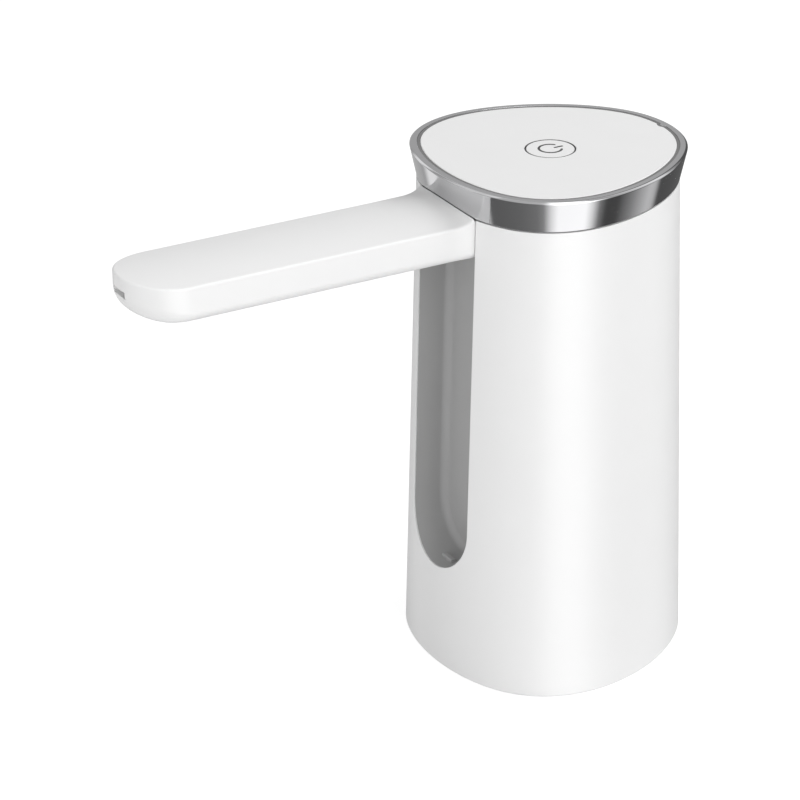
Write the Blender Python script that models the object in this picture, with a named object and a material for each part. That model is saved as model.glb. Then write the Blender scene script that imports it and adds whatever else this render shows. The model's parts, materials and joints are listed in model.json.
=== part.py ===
"""Bottled water pump: a tapered body that stands on a bottle neck, with a spout arm that folds into it.

Metres, +Z up. The origin is the centre of the foot, on the body axis, and the arm points along -Y.
"""

import math

import bmesh
import bpy
from mathutils import Matrix, Vector

MM = 0.001

# Clearances, overruns and facet counts
GAP = 0.3 * MM
OVERRUN = 2.0 * MM
WELD = 0.002 * MM
PLAN_SEGMENTS = 48
LARGE_SEGMENTS = 24
ROUND_SEGMENTS = 16
SMALL_SEGMENTS = 10
TINY_SEGMENTS = 8
SEAL_SIDES = 6
END_SEGMENTS = 14
FILLET_STEPS = 3
HOSE_STEPS = 2

# Factor that lengths are multiplied by while shapes are cut and joined, for the solver's precision
SOLVER_SCALE = 1000

# Body plan: a circle with three soft lobes, one of them at the back, and a straight draft
BODY_RADIUS = 35.23 * MM
LOBE_3 = 1.657 * MM
LOBE_4 = -0.206 * MM
LOBE_6 = -0.131 * MM
DRAFT = math.radians(1.5)

# Outer shell
SHELL_HEIGHT = 123.45 * MM
SHELL_WALL = 2.0 * MM
FOOT_EDGE = 0.4 * MM
LIP_DEPTH = 0.8 * MM
LIP_THICKNESS = 1.5 * MM
RABBET_FACE = 0.4 * MM
GROOVE_HALF_WIDTH = 13.2 * MM
GROOVE_END_Z = 39.9 * MM

# Axis that the arm folds about: its drop below the shell's top edge and its place behind the shell's side
HINGE_DROP = 5.25 * MM
HINGE_INSET = 10.53 * MM
HINGE_Y = HINGE_INSET - BODY_RADIUS
HINGE_Z = SHELL_HEIGHT - HINGE_DROP

# Groove liner
LINER_WALL = 0.9 * MM
LINER_BACK_WALL = 1.2 * MM
LINER_CORNER = 2.0 * MM
LINER_BACK_GAP = 5.4 * MM
LINER_BACK_DEPTH = -HINGE_Y - LINER_BACK_GAP
LINER_BACK_DROP = 6.9 * MM
LINER_BACK_TOP = HINGE_Z - LINER_BACK_DROP
TAB_HALF_WIDTH = 2.2 * MM
TAB_HEIGHT = 1.6 * MM
TAB_INSET = 6.63 * MM
TAB_FRONT = BODY_RADIUS - TAB_INSET
TAB_DEPTH = 1.4 * MM

# Trim ring and the lid inside it
RING_HEIGHT = 8.12 * MM
RING_FLARE = 1.68 * MM
RING_BEVEL = 0.45 * MM
RING_FACE = 1.45 * MM
RING_LEDGE_WIDTH = 2.0 * MM
RING_LEDGE_THICKNESS = 1.4 * MM
RING_WALL = 4.93 * MM
RING_BORE = BODY_RADIUS - RING_WALL
TRENCH = 0.8 * MM
KEY_RADIUS = 1.33 * MM
KEY_X = 0.1 * MM
KEY_INSET = 0.58 * MM
PANEL_THICKNESS = 1.57 * MM
PANEL_EDGE = 0.25 * MM
PANEL_POST_RADIUS = 2.0 * MM
PANEL_POST_X = 16.0 * MM
PANEL_POST_Y = 9.0 * MM

# Power button
BUTTON_Y = 0.4 * MM
BUTTON_RADIUS = 5.93 * MM
BUTTON_CLEARANCE = 0.35 * MM
BUTTON_SINK = 0.1 * MM
BUTTON_EDGE = 0.25 * MM
BUTTON_FLANGE_WIDTH = 1.15 * MM
BUTTON_FLANGE_THICKNESS = 1.1 * MM
BUTTON_STEM_RADIUS = 1.8 * MM
BUTTON_TRAVEL = 0.5 * MM

# Spout arm
BARREL_RADIUS = 5.0 * MM
ARM_HALF_WIDTH = 12.56 * MM
ARM_CROWN = 1.1 * MM
ARM_EDGE = 0.5 * MM
ARM_REACH = 77.8 * MM
ARM_TIP_CENTRE_Y = HINGE_Y - ARM_REACH
ARM_TIP_LENGTH = 12.93 * MM
ROOT_HALF_WIDTH = 12.9 * MM
BARREL_HALF_WIDTH = 12.8 * MM
ROOT_FLAT_LENGTH = 3.7 * MM
ROOT_FLAT_Y = HINGE_Y - ROOT_FLAT_LENGTH
ROOT_EASED_LENGTH = 9.3 * MM
ROOT_EASED_Y = HINGE_Y - ROOT_EASED_LENGTH
ROOT_STATION_SHARES = (0.0, 0.3, 0.6)
SIDE_BOW_DEPTH = 2.1 * MM
SIDE_BOW_HEIGHT = 2.4 * MM
TIP_BOW_DEPTH = 6.5 * MM
TIP_BOW_HEIGHT = 6.3 * MM
BOW_STEPS = 5
CATCH_HALF_WIDTH = 4.6 * MM
CATCH_TOP_DROP = 3.2 * MM
CATCH_DEPTH = 3.0 * MM
CATCH_HEIGHT = 1.8 * MM
CATCH_LEAD_HALF_WIDTH = 2.7 * MM
CATCH_LEAD_DEPTH = 1.1 * MM
CATCH_LEAD_HEIGHT = 5.5 * MM

# Hollow of the arm, its base plate and its water way
HOLLOW_HALF_WIDTH = 9.5 * MM
HOLLOW_CEILING_DROP = 2.6 * MM
HOLLOW_AHEAD = 5.4 * MM
HOLLOW_TIP_Y = ARM_TIP_CENTRE_Y - HOLLOW_AHEAD
KNUCKLE_LENGTH = 6.3 * MM
KNUCKLE_WALL_Y = HINGE_Y - KNUCKLE_LENGTH
BASE_THICKNESS = 1.5 * MM
TUBE_RADIUS = 2.0 * MM
TUBE_BORE = 1.4 * MM
WATER_WAY_RADIUS = 1.0 * MM
TUBE_EASE = 12.0 * MM
TUBE_START = 3.0 * MM
NOZZLE_RADIUS = 3.6 * MM
NOZZLE_BORE = 2.2 * MM
NOZZLE_AHEAD = 0.1 * MM
NOZZLE_Y = ARM_TIP_CENTRE_Y - NOZZLE_AHEAD
NOZZLE_RECESS = 0.2 * MM
NOZZLE_HEIGHT = 7.0 * MM

# Swivel tee that the arm turns on
TEE_RADIUS = 2.9 * MM
TEE_HALF_LENGTH = 9.4 * MM
TEE_BORE = 1.3 * MM
TEE_CLEARANCE = 0.4 * MM
STEM_RADIUS = 2.7 * MM
STEM_LENGTH = 11.8 * MM
ELBOW_Y = HINGE_Y + STEM_LENGTH
TEE_NIPPLE_RADIUS = 2.2 * MM
TEE_NIPPLE_LENGTH = 9.5 * MM
TEE_FLANGE_HALF_WIDTH = 10.0 * MM
TEE_FLANGE_HALF_HEIGHT = 4.5 * MM
TEE_FLANGE_THICKNESS = 1.4 * MM
TEE_PORT_X = -6.4 * MM
SEAL_SPACING = 2.0 * MM
SEAL_SECTION = 0.5 * MM
SEAL_GROOVE_DEPTH = 0.95 * MM
HINGE_SCREW_X = 7.5 * MM

# Screws
SCREW_RADIUS = 0.9 * MM
SCREW_HEAD_RADIUS = 1.7 * MM
SCREW_HEAD_HEIGHT = 1.2 * MM
SCREW_DRIVE_RADIUS = 0.7 * MM
SCREW_DRIVE_DEPTH = 0.6 * MM

# Neck socket, its gasket and the intake
SOCKET_FLANGE_BOTTOM = 0.8 * MM
SOCKET_FLANGE_THICKNESS = 1.8 * MM
SOCKET_FLANGE_CLEARANCE = 0.35 * MM
SOCKET_BORE = 28.2 * MM
SOCKET_WALL = 1.8 * MM
SOCKET_CEILING = 22.8 * MM
SOCKET_CEILING_THICKNESS = 2.1 * MM
SOCKET_LEAD = 1.2 * MM
SOCKET_SCREW_PLACE = 19.0 * MM
VENT_RADIUS = 1.2 * MM
VENT_PLACE = 10.0 * MM
GASKET_INNER = 23.5 * MM
GASKET_THICKNESS = 1.8 * MM
BARB_FLANGE_RADIUS = 7.0 * MM
BARB_FLANGE_THICKNESS = 1.6 * MM
BARB_RADIUS = 4.0 * MM
BARB_TOOTH = 0.7 * MM
BARB_PITCH = 4.2 * MM
BARB_TEETH = 3
BARB_BOTTOM = 3.5 * MM
BARB_BORE = 2.6 * MM
BARB_NIPPLE_TOP = 31.5 * MM
BARB_NIPPLE_RADIUS = 3.3 * MM
HOSE_WALL = 1.4 * MM
HOSE_EASE = 3.0 * MM
INLET_HOSE_BOTTOM = 27.6 * MM

# Chassis
CHASSIS_FLOOR_THICKNESS = 1.8 * MM
CHASSIS_CLEARANCE = 0.4 * MM
CHASSIS_FRONT_HALF_WIDTH = 14.6 * MM
CHASSIS_FRONT_INSET = 15.23 * MM
CHASSIS_FRONT_Y = CHASSIS_FRONT_INSET - BODY_RADIUS
POST_HALF_WIDTH = 2.5 * MM
FRONT_POST_SIDE_INSET = 14.73 * MM
FRONT_POST_X = BODY_RADIUS - FRONT_POST_SIDE_INSET
FRONT_POST_SETBACK = 9.7 * MM
FRONT_POST_Y = HINGE_Y + FRONT_POST_SETBACK
REAR_POST_X = 13.0 * MM
REAR_POST_INSET = 14.23 * MM
REAR_POST_Y = BODY_RADIUS - REAR_POST_INSET
POST_RISE = 0.35 * MM
POST_TOP = SHELL_HEIGHT + POST_RISE
HINGE_PLATE_THICKNESS = 2.4 * MM
HINGE_PLATE_DROP = 6.6 * MM
HINGE_PLATE_BOTTOM = HINGE_Z - HINGE_PLATE_DROP
CRADLE_WALL = 1.3 * MM
CRADLE_TOP = 60.0 * MM
PEDESTAL_WALL = 3.7 * MM

# Battery
CELL_X = 15.9 * MM
CELL_Y = 8.0 * MM
CELL_RADIUS = 9.15 * MM
CELL_LENGTH = 65.0 * MM
CELL_CROWN_RADIUS = 3.0 * MM
CELL_CROWN_HEIGHT = 1.0 * MM
CELL_EDGE = 0.6 * MM
TAB_STRIP_HALF_WIDTH = 3.0 * MM
TAB_STRIP_LENGTH = 7.0 * MM
TAB_STRIP_THICKNESS = 0.4 * MM
TAB_STRIP_TAIL = 5.0 * MM

# Diaphragm pump, from its foot up
PUMP_X = -7.0 * MM
PUMP_Y = 5.0 * MM
PUMP_RADIUS = 13.5 * MM
PUMP_FOOT = 41.0 * MM
HEAD_HEIGHT = 7.5 * MM
HEAD_POCKET_DEPTH = 2.5 * MM
HEAD_CENTRE_RADIUS = 4.0 * MM
HEAD_RING_INNER = 5.2 * MM
HEAD_RING_OUTER = 9.2 * MM
HEAD_PORT_LENGTH = 6.0 * MM
HEAD_PORT_RADIUS = 3.3 * MM
HEAD_PORT_BORE = 1.6 * MM
OUTLET_Y = -12.4 * MM
OUTLET_BLOCK_RADIUS = 3.6 * MM
OUTLET_NIPPLE_RADIUS = 2.2 * MM
OUTLET_NIPPLE_LENGTH = 6.0 * MM
OUTLET_BORE = 1.2 * MM
VALVE_PLATE_THICKNESS = 3.0 * MM
CUP_PLACE = 7.0 * MM
CUP_RADIUS = 4.4 * MM
CUP_WALL = 0.8 * MM
CUP_HEIGHT = 5.6 * MM
CUP_KNOB_RADIUS = 1.3 * MM
CUP_KNOB_HEIGHT = 1.2 * MM
DIAPHRAGM_THICKNESS = 1.3 * MM
VALVE_CAP_RADIUS = 2.4 * MM
VALVE_CAP_THICKNESS = 0.6 * MM
VALVE_STEM_RADIUS = 0.6 * MM
VALVE_STEM_CLEARANCE = 0.25 * MM
VALVE_PORT_RADIUS = 0.6 * MM
VALVE_PORT_PLACE = 1.6 * MM
PUMP_SCREW_PLACE = 11.2 * MM
PUMP_SCREW_LENGTH = 17.0 * MM
CRANKCASE_WALL = 1.7 * MM
CRANKCASE_HEIGHT = 15.3 * MM
CRANKCASE_LID = 1.8 * MM
CRANKCASE_BOSS_RADIUS = 2.0 * MM
CRANKCASE_BOSS_HEIGHT = 6.0 * MM
WOBBLE_ANGLE = math.radians(7.0)
WOBBLE_ARM_RADIUS = 2.4 * MM
WOBBLE_ARM_HALF_WIDTH = 1.8 * MM
WOBBLE_THICKNESS = 1.6 * MM
WOBBLE_HUB_RADIUS = 2.6 * MM
WOBBLE_PIN_RADIUS = 0.8 * MM
WOBBLE_PIN_LENGTH = 2.6 * MM
HUB_RADIUS = 3.6 * MM
HUB_HEIGHT = 4.0 * MM

# Motor
MOTOR_RADIUS = 12.1 * MM
MOTOR_LENGTH = 30.3 * MM
MOTOR_WALL = 0.8 * MM
MOTOR_BOSS_RADIUS = 3.9 * MM
MOTOR_BOSS_HEIGHT = 1.6 * MM
BUSH_RADIUS = 3.0 * MM
BUSH_LENGTH = 2.6 * MM
SHAFT_RADIUS = 1.15 * MM
SHAFT_TAIL = 1.8 * MM
MAGNET_THICKNESS = 2.0 * MM
MAGNET_LENGTH = 20.0 * MM
MAGNET_HALF_ANGLE = math.radians(62.0)
ARMATURE_RADIUS = 8.4 * MM
ARMATURE_LENGTH = 18.0 * MM
ARMATURE_SLOT = 1.5 * MM
WINDING_RADIUS = 6.8 * MM
WINDING_LENGTH = 21.0 * MM
COMMUTATOR_RADIUS = 2.6 * MM
COMMUTATOR_LENGTH = 4.0 * MM
CAP_HEIGHT = 3.2 * MM
CAP_EDGE = 0.6 * MM
CAP_SKIRT = 4.0 * MM
BRUSH_HALF_WIDTH = 1.0 * MM
BRUSH_LENGTH = 2.2 * MM
TERMINAL_THICKNESS = 0.5 * MM
TERMINAL_X = 8.0 * MM
TERMINAL_RISE = 3.0 * MM

# Control board, switch and socket
BOARD_DROP = 7.75 * MM
BOARD_TOP = SHELL_HEIGHT - BOARD_DROP
BOARD_THICKNESS = 1.2 * MM
BOARD_INSET = 11.23 * MM
BOARD_RADIUS = BODY_RADIUS - BOARD_INSET
BOARD_Y = 3.0 * MM
BOARD_FRONT_Y = -9.5 * MM
BOARD_TONGUE_HALF_WIDTH = 7.0 * MM
BOARD_TONGUE_INSET = 6.63 * MM
BOARD_TONGUE_Y = BODY_RADIUS - BOARD_TONGUE_INSET
SWITCH_HALF_WIDTH = 3.0 * MM
SWITCH_HEIGHT = 3.4 * MM
SWITCH_PLUNGER_RADIUS = 1.75 * MM
SWITCH_PLUNGER_CLEARANCE = 0.25 * MM
SWITCH_PLUNGER_RISE = 1.4 * MM
SWITCH_WELL_DEPTH = 2.2 * MM
CHIP_HALF_WIDTH = 4.0 * MM
CHIP_HEIGHT = 2.0 * MM
CHIP_X = 12.0 * MM
PORT_HALF_WIDTH = 4.5 * MM
PORT_HEIGHT = 3.2 * MM
PORT_DEPTH = 9.0 * MM
PORT_WALL = 0.4 * MM
PORT_CORNER = 1.0 * MM
PORT_SETBACK = 0.5 * MM
PORT_SLOT_MARGIN = 0.3 * MM
PORT_SLOT_HALF_WIDTH = PORT_HALF_WIDTH + PORT_SLOT_MARGIN
PORT_SLOT_HALF_HEIGHT = PORT_HEIGHT / 2 + PORT_SLOT_MARGIN
PORT_SLOT_CORNER = 1.3 * MM

# Top deck
DECK_THICKNESS = 1.8 * MM
DECK_RIM_WALL = 1.7 * MM
DECK_BOSS_RADIUS = 2.2 * MM
DECK_GUIDE_WALL = 1.6 * MM
DECK_GUIDE_RISE = 1.4 * MM
PEG_X = 19.0 * MM
PEG_FRONT_Y = -5.5 * MM
PEG_REAR_Y = 13.0 * MM
PEG_RADIUS = 0.9 * MM
PEG_HEAD_RADIUS = 1.8 * MM
PEG_HEAD_HEIGHT = 0.8 * MM


def body_radius(z):
    """Mean radius of the outside of the body at a height."""
    return BODY_RADIUS - z * math.tan(DRAFT)


def plan_point(radius, turn):
    """A point of the body's plan, its turn counted from the back. Plans of unlike radius are parallel."""
    reach = radius + LOBE_3 * math.cos(3 * turn) + LOBE_4 * math.cos(4 * turn) + LOBE_6 * math.cos(6 * turn)
    slope = -3 * LOBE_3 * math.sin(3 * turn) - 4 * LOBE_4 * math.sin(4 * turn)
    slope -= 6 * LOBE_6 * math.sin(6 * turn)
    return -reach * math.sin(turn) - slope * math.cos(turn), reach * math.cos(turn) - slope * math.sin(turn)


def plan_ring(radius, z):
    turns = [math.tau * i / PLAN_SEGMENTS for i in range(PLAN_SEGMENTS)]
    return [(*plan_point(radius, turn), z) for turn in turns]


def back_y(radius):
    """Where the plan of this radius crosses the middle of the back."""
    return plan_point(radius, 0)[1]


def front_y(radius):
    return plan_point(radius, math.pi)[1]


def add_patch(mesh, rows, closed=True, looped=False):
    """Quads between rows of points. Closed rows join their ends, looped joins the last row to the first."""
    grid = [[mesh.verts.new(point) for point in row] for row in rows]
    pairs = list(zip(grid, grid[1:]))
    if looped:
        pairs.append((grid[-1], grid[0]))
    for lower, upper in pairs:
        count = len(lower)
        for i in range(count if closed else count - 1):
            j = (i + 1) % count
            mesh.faces.new((lower[i], lower[j], upper[j], upper[i]))


def add_cap(mesh, ring):
    mesh.faces.new([mesh.verts.new(point) for point in ring])


def finish(name, mesh):
    """Welds the patches into one closed body and makes it an object."""
    bmesh.ops.remove_doubles(mesh, verts=mesh.verts[:], dist=WELD)
    bmesh.ops.recalc_face_normals(mesh, faces=mesh.faces[:])
    data = bpy.data.meshes.new(name)
    mesh.to_mesh(data)
    mesh.free()
    made = bpy.data.objects.new(name, data)
    bpy.context.scene.collection.objects.link(made)
    return made


def loft(name, rings, looped=False):
    """A skin through rings of points, capped at both ends unless it loops back to its first ring."""
    mesh = bmesh.new()
    add_patch(mesh, rings, looped=looped)
    if not looped:
        add_cap(mesh, rings[0])
        add_cap(mesh, rings[-1])
    return finish(name, mesh)


def circle(radius, z, segments, centre=(0, 0)):
    turns = [math.tau * i / segments for i in range(segments)]
    return [(centre[0] + radius * math.cos(t), centre[1] + radius * math.sin(t), z) for t in turns]


def turned(name, profile, centre=(0, 0), segments=ROUND_SEGMENTS):
    """A body of revolution about Z from a profile of (radius, z) points."""
    mesh = bmesh.new()
    hollow = profile[0][0] > 0 or profile[-1][0] > 0
    rings = [circle(radius, z, segments, centre) for radius, z in profile]
    add_patch(mesh, rings, looped=hollow)
    return finish(name, mesh)


def disc(name, radius, low, high, centre=(0, 0), segments=ROUND_SEGMENTS):
    return turned(name, [(0, low), (radius, low), (radius, high), (0, high)], centre, segments)


def pipe(name, outer, inner, low, high, centre=(0, 0), segments=ROUND_SEGMENTS):
    return turned(name, [(inner, low), (outer, low), (outer, high), (inner, high)], centre, segments)


def prism(name, outline, start, end, axis="Z"):
    """A flat outline extruded along an axis. Its points are (x, y) for Z, (x, z) for Y and (y, z) for X."""
    if axis == "Z":
        rings = [[(a, b, level) for a, b in outline] for level in (start, end)]
    elif axis == "Y":
        rings = [[(a, level, b) for a, b in outline] for level in (start, end)]
    else:
        rings = [[(level, a, b) for a, b in outline] for level in (start, end)]
    return loft(name, rings)


def rectangle(low, high):
    return [(low[0], low[1]), (high[0], low[1]), (high[0], high[1]), (low[0], high[1])]


def rounded_rectangle(half_width, half_height, radius, centre=(0, 0), steps=FILLET_STEPS):
    outline = []
    for quarter, (side_a, side_b) in enumerate(((1, 1), (-1, 1), (-1, -1), (1, -1))):
        for step in range(steps + 1):
            turn = math.pi / 2 * (quarter + step / steps)
            a = side_a * (half_width - radius) + radius * math.cos(turn)
            b = side_b * (half_height - radius) + radius * math.sin(turn)
            outline.append((centre[0] + a, centre[1] + b))
    return outline


def box(name, low, high):
    return prism(name, rectangle(low[:2], high[:2]), low[2], high[2])


def rod(name, radius, start, end, segments=SMALL_SEGMENTS):
    """A round bar between two points."""
    start = Vector(start)
    end = Vector(end)
    made = disc(name, radius, 0, (end - start).length, segments=segments)
    turn = (end - start).to_track_quat("Z", "Y").to_matrix().to_4x4()
    made.data.transform(Matrix.Translation(start) @ turn)
    return made


def combine(body, tool, operation):
    """Joins or cuts with the manifold solver: the exact one leaves open edges round small holes here."""
    modifier = body.modifiers.new(operation.title(), "BOOLEAN")
    modifier.operation = operation
    modifier.object = tool
    modifier.solver = "MANIFOLD"
    for data in (body.data, tool.data):
        data.transform(Matrix.Scale(SOLVER_SCALE, 4))
    graph = bpy.context.evaluated_depsgraph_get()
    made = bpy.data.meshes.new_from_object(body.evaluated_get(graph))
    body.modifiers.clear()
    spent = [body.data, tool.data]
    body.data = made
    bpy.data.objects.remove(tool)
    for data in spent:
        bpy.data.meshes.remove(data)
    made.transform(Matrix.Scale(1 / SOLVER_SCALE, 4))
    made.name = body.name
    return body


def cut(body, *tools):
    for tool in tools:
        combine(body, tool, "DIFFERENCE")
    return body


def join(body, *tools):
    for tool in tools:
        combine(body, tool, "UNION")
    return body


def common(body, tool):
    return combine(body, tool, "INTERSECT")


def groove_outline(half_width, top):
    """The groove's outline in the front view: straight sides over a half round lower end."""
    turns = [math.pi * (1 + i / END_SEGMENTS) for i in range(END_SEGMENTS + 1)]
    arc = [(half_width * math.cos(t), GROOVE_END_Z + half_width * math.sin(t)) for t in turns]
    return arc + [(half_width, top), (-half_width, top)]


def body_plug(name, inset, low, high):
    """The inside of a skin that lies this far within the outside of the body."""
    return loft(name, [plan_ring(body_radius(z) - inset, z) for z in (low, high)])


def make_outer_shell():
    bore = [
        (SHELL_HEIGHT, SHELL_WALL),
        (lip_top() + LIP_DEPTH, SHELL_WALL),
        (lip_top(), SHELL_WALL + LIP_DEPTH),
        (lip_bottom(), SHELL_WALL + LIP_DEPTH),
        (lip_bottom(), SHELL_WALL),
        (0, SHELL_WALL),
    ]
    outside = [(0, FOOT_EDGE), (FOOT_EDGE, 0), (SHELL_HEIGHT, 0)]
    rings = [plan_ring(body_radius(z) - inset, z) for z, inset in outside + bore]
    shell = loft("outer_shell", rings, looped=True)
    top = SHELL_HEIGHT + OVERRUN
    front = front_y(BODY_RADIUS) - OVERRUN
    opening = prism("groove_opening", groove_outline(GROOVE_HALF_WIDTH, top), front, -LINER_BACK_DEPTH, "Y")
    seat = prism("rabbet", groove_outline(liner_half_width() + GAP, top), front, -LINER_BACK_DEPTH, "Y")
    common(seat, body_plug("rabbet_face", RABBET_FACE, 0, top))
    middle = (0, port_z())
    port_outline = rounded_rectangle(PORT_SLOT_HALF_WIDTH, PORT_SLOT_HALF_HEIGHT, PORT_SLOT_CORNER, middle)
    port = prism("port_slot", port_outline, 0, back_y(BODY_RADIUS) + OVERRUN, "Y")
    return cut(shell, opening, seat, port)


def lip_bottom():
    """The shell's inner lip stands on the flange of the neck socket."""
    return socket_flange_top() + GAP


def lip_top():
    return lip_bottom() + LIP_THICKNESS


def liner_half_width():
    return GROOVE_HALF_WIDTH + LINER_WALL


def channel_back_y(z):
    """The channel's back follows the draft of the front, so that the folded arm lies flush."""
    return -LINER_BACK_DEPTH - (HINGE_Z - z) * math.tan(DRAFT)


def channel_tool(name, half_width, corner, depth_past, front, top):
    """A plug for one face of the channel, rounded all round its back, depth_past behind that face."""
    rings = [[(x, front, z) for x, z in groove_outline(half_width, top)]]
    for step in range(FILLET_STEPS + 1):
        turn = math.pi / 2 * step / FILLET_STEPS
        inset = corner * (1 - math.cos(turn))
        ahead = corner * (1 - math.sin(turn))
        outline = groove_outline(half_width - inset, top)
        rings.append([(x, channel_back_y(z) + depth_past - ahead, z) for x, z in outline])
    return loft(name, rings)


def make_groove_liner():
    top = SHELL_HEIGHT - GAP
    front = front_y(BODY_RADIUS) - OVERRUN
    liner = channel_tool("groove_liner", liner_half_width(), LINER_CORNER, LINER_BACK_WALL, front, top)
    common(liner, body_plug("liner_front", RABBET_FACE + GAP, 0, SHELL_HEIGHT))
    tab_low = (-TAB_HALF_WIDTH, -TAB_FRONT, groove_floor() - LINER_WALL / 2)
    tab_high = (TAB_HALF_WIDTH, -TAB_FRONT + TAB_DEPTH, groove_floor() + TAB_HEIGHT)
    channel = channel_tool("channel", GROOVE_HALF_WIDTH, LINER_CORNER, 0, front - OVERRUN, top + OVERRUN)
    half = liner_half_width() + OVERRUN
    behind = box(
        "knuckle_room",
        (-half, channel_back_y(HINGE_Z) - LINER_CORNER - GAP, LINER_BACK_TOP),
        (half, 0, top + OVERRUN),
    )
    cut(liner, channel, behind)
    return join(liner, box("catch_tab", tab_low, tab_high))


def groove_floor():
    """Lowest point of the channel."""
    return GROOVE_END_Z - GROOVE_HALF_WIDTH


def ring_foot():
    return SHELL_HEIGHT + GAP


def ring_top():
    return ring_foot() + RING_HEIGHT


def ring_top_radius():
    return body_radius(SHELL_HEIGHT) + RING_FLARE - RING_BEVEL


def ring_inner_radius():
    return ring_top_radius() - RING_FACE


def ledge_top():
    return panel_bottom() - GAP


def make_trim_ring():
    foot_radius = body_radius(SHELL_HEIGHT)
    ledge_radius = ring_inner_radius() - RING_LEDGE_WIDTH
    ledge_bottom = ledge_top() - RING_LEDGE_THICKNESS
    profile = [
        (foot_radius, ring_foot()),
        (foot_radius + RING_FLARE, ring_top() - RING_BEVEL),
        (ring_top_radius(), ring_top()),
        (ring_inner_radius(), ring_top()),
        (ring_inner_radius(), ledge_top()),
        (ledge_radius, ledge_top()),
        (ledge_radius, ledge_bottom),
        (RING_BORE, ledge_bottom),
        (RING_BORE, ring_foot()),
    ]
    ring = loft("trim_ring", [plan_ring(radius, z) for radius, z in profile], looped=True)
    key_low = ledge_top() - RING_LEDGE_THICKNESS / 2
    key = disc("key", KEY_RADIUS, key_low, ring_top(), key_centre(), END_SEGMENTS)
    within = ring_inner_radius() + RING_FACE / 2
    common(key, loft("within", [plan_ring(within, z) for z in (ledge_bottom, ring_top() + OVERRUN)]))
    return join(ring, key)


def key_centre():
    return KEY_X, back_y(ring_inner_radius()) + KEY_INSET


def panel_bottom():
    return ring_top() - PANEL_THICKNESS


def make_top_panel():
    radius = ring_inner_radius() - TRENCH
    rings = [
        plan_ring(radius, panel_bottom()),
        plan_ring(radius, ring_top() - PANEL_EDGE),
        plan_ring(radius - PANEL_EDGE, ring_top()),
    ]
    panel = loft("top_panel", rings)
    for side_x in (-1, 1):
        for side_y in (-1, 1):
            centre = (side_x * PANEL_POST_X, side_y * PANEL_POST_Y)
            foot = deck_top() + GAP
            head = panel_bottom() + PANEL_EDGE
            join(panel, disc("post", PANEL_POST_RADIUS, foot, head, centre, SMALL_SEGMENTS))
    above = ring_top() + OVERRUN
    below = panel_bottom() - OVERRUN
    bore = BUTTON_RADIUS + BUTTON_CLEARANCE
    hole = disc("button_hole", bore, below, above, button_place(), LARGE_SEGMENTS)
    notch = disc("key_notch", KEY_RADIUS + TRENCH, below, above, key_centre(), END_SEGMENTS)
    return cut(panel, hole, notch)


def flange_top():
    return panel_bottom() - GAP


def button_place():
    return 0, BUTTON_Y


def make_power_button():
    cap_top = ring_top() - BUTTON_SINK
    flange_radius = BUTTON_RADIUS + BUTTON_FLANGE_WIDTH
    flange_bottom = flange_top() - BUTTON_FLANGE_THICKNESS
    profile = [
        (0, plunger_top() + GAP),
        (BUTTON_STEM_RADIUS, plunger_top() + GAP),
        (BUTTON_STEM_RADIUS, flange_bottom),
        (flange_radius, flange_bottom),
        (flange_radius, flange_top()),
        (BUTTON_RADIUS, flange_top()),
        (BUTTON_RADIUS, cap_top - BUTTON_EDGE),
        (BUTTON_RADIUS - BUTTON_EDGE, cap_top),
        (0, cap_top),
    ]
    return turned("power_button", profile, button_place(), LARGE_SEGMENTS)


def arm_top():
    return HINGE_Z + BARREL_RADIUS


def arm_bottom():
    return HINGE_Z - BARREL_RADIUS


def arm_side_point(y_share, side, inset):
    """A point on the arm's long side, from the eased end of the root (share 0) to the hinge (share 1)."""
    y = ROOT_EASED_Y + (HINGE_Y - ROOT_EASED_Y) * y_share
    flare_share = min(1.0, (y - ROOT_EASED_Y) / (ROOT_FLAT_Y - ROOT_EASED_Y))
    half = ARM_HALF_WIDTH + (ROOT_HALF_WIDTH - ARM_HALF_WIDTH) * flare_share
    return side * (half - inset), y


def crown_z(x, y):
    """Height of the crowned top, which runs out flat towards the hinge."""
    ease_share = max(0.0, min(1.0, (ROOT_FLAT_Y - y) / (ROOT_FLAT_Y - ROOT_EASED_Y)))
    return arm_top() - ARM_CROWN * ease_share * (x / ARM_HALF_WIDTH) ** 2


def arm_ring(side_inset, tip_inset, drop=None, z=None):
    """The arm's outline, drawn in by unlike amounts at its sides and tip, at a height or below the crown."""
    points = []
    for i in range(END_SEGMENTS + 1):
        turn = math.pi * (i / END_SEGMENTS - 0.5)
        bow = side_inset + (tip_inset - side_inset) * math.cos(turn)
        x = (ARM_HALF_WIDTH - side_inset) * math.sin(turn)
        points.append((x, ARM_TIP_CENTRE_Y - (ARM_TIP_LENGTH - bow) * math.cos(turn)))
    right = [arm_side_point(share, 1, side_inset) for share in ROOT_STATION_SHARES]
    left = [arm_side_point(share, -1, side_inset) for share in ROOT_STATION_SHARES]
    hinge_x = arm_side_point(1.0, 1, side_inset)[0]
    root = []
    for i in range(END_SEGMENTS + 1):
        turn = math.pi * (i / END_SEGMENTS - 0.5)
        root.append((-hinge_x * math.sin(turn), HINGE_Y))
    outline = points + right + root + left[::-1]
    return [(x, y, crown_z(x, y) - drop if z is None else z) for x, y in outline]


def arm_crown(mesh, ring):
    """Closes the arm's top with strips that run along it, so that it keeps its crown."""
    count = END_SEGMENTS + 1
    stations = len(ROOT_STATION_SHARES)
    tip = ring[:count]
    right = ring[count:count + stations]
    root = ring[count + stations:2 * count + stations][::-1]
    rows = [tip]
    for side in right:
        row = []
        for x, y, z in tip:
            across = side[0] * x / tip[-1][0]
            row.append((across, side[1], crown_z(across, side[1])))
        rows.append(row)
    rows.append(root)
    add_patch(mesh, rows, closed=False)


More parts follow.
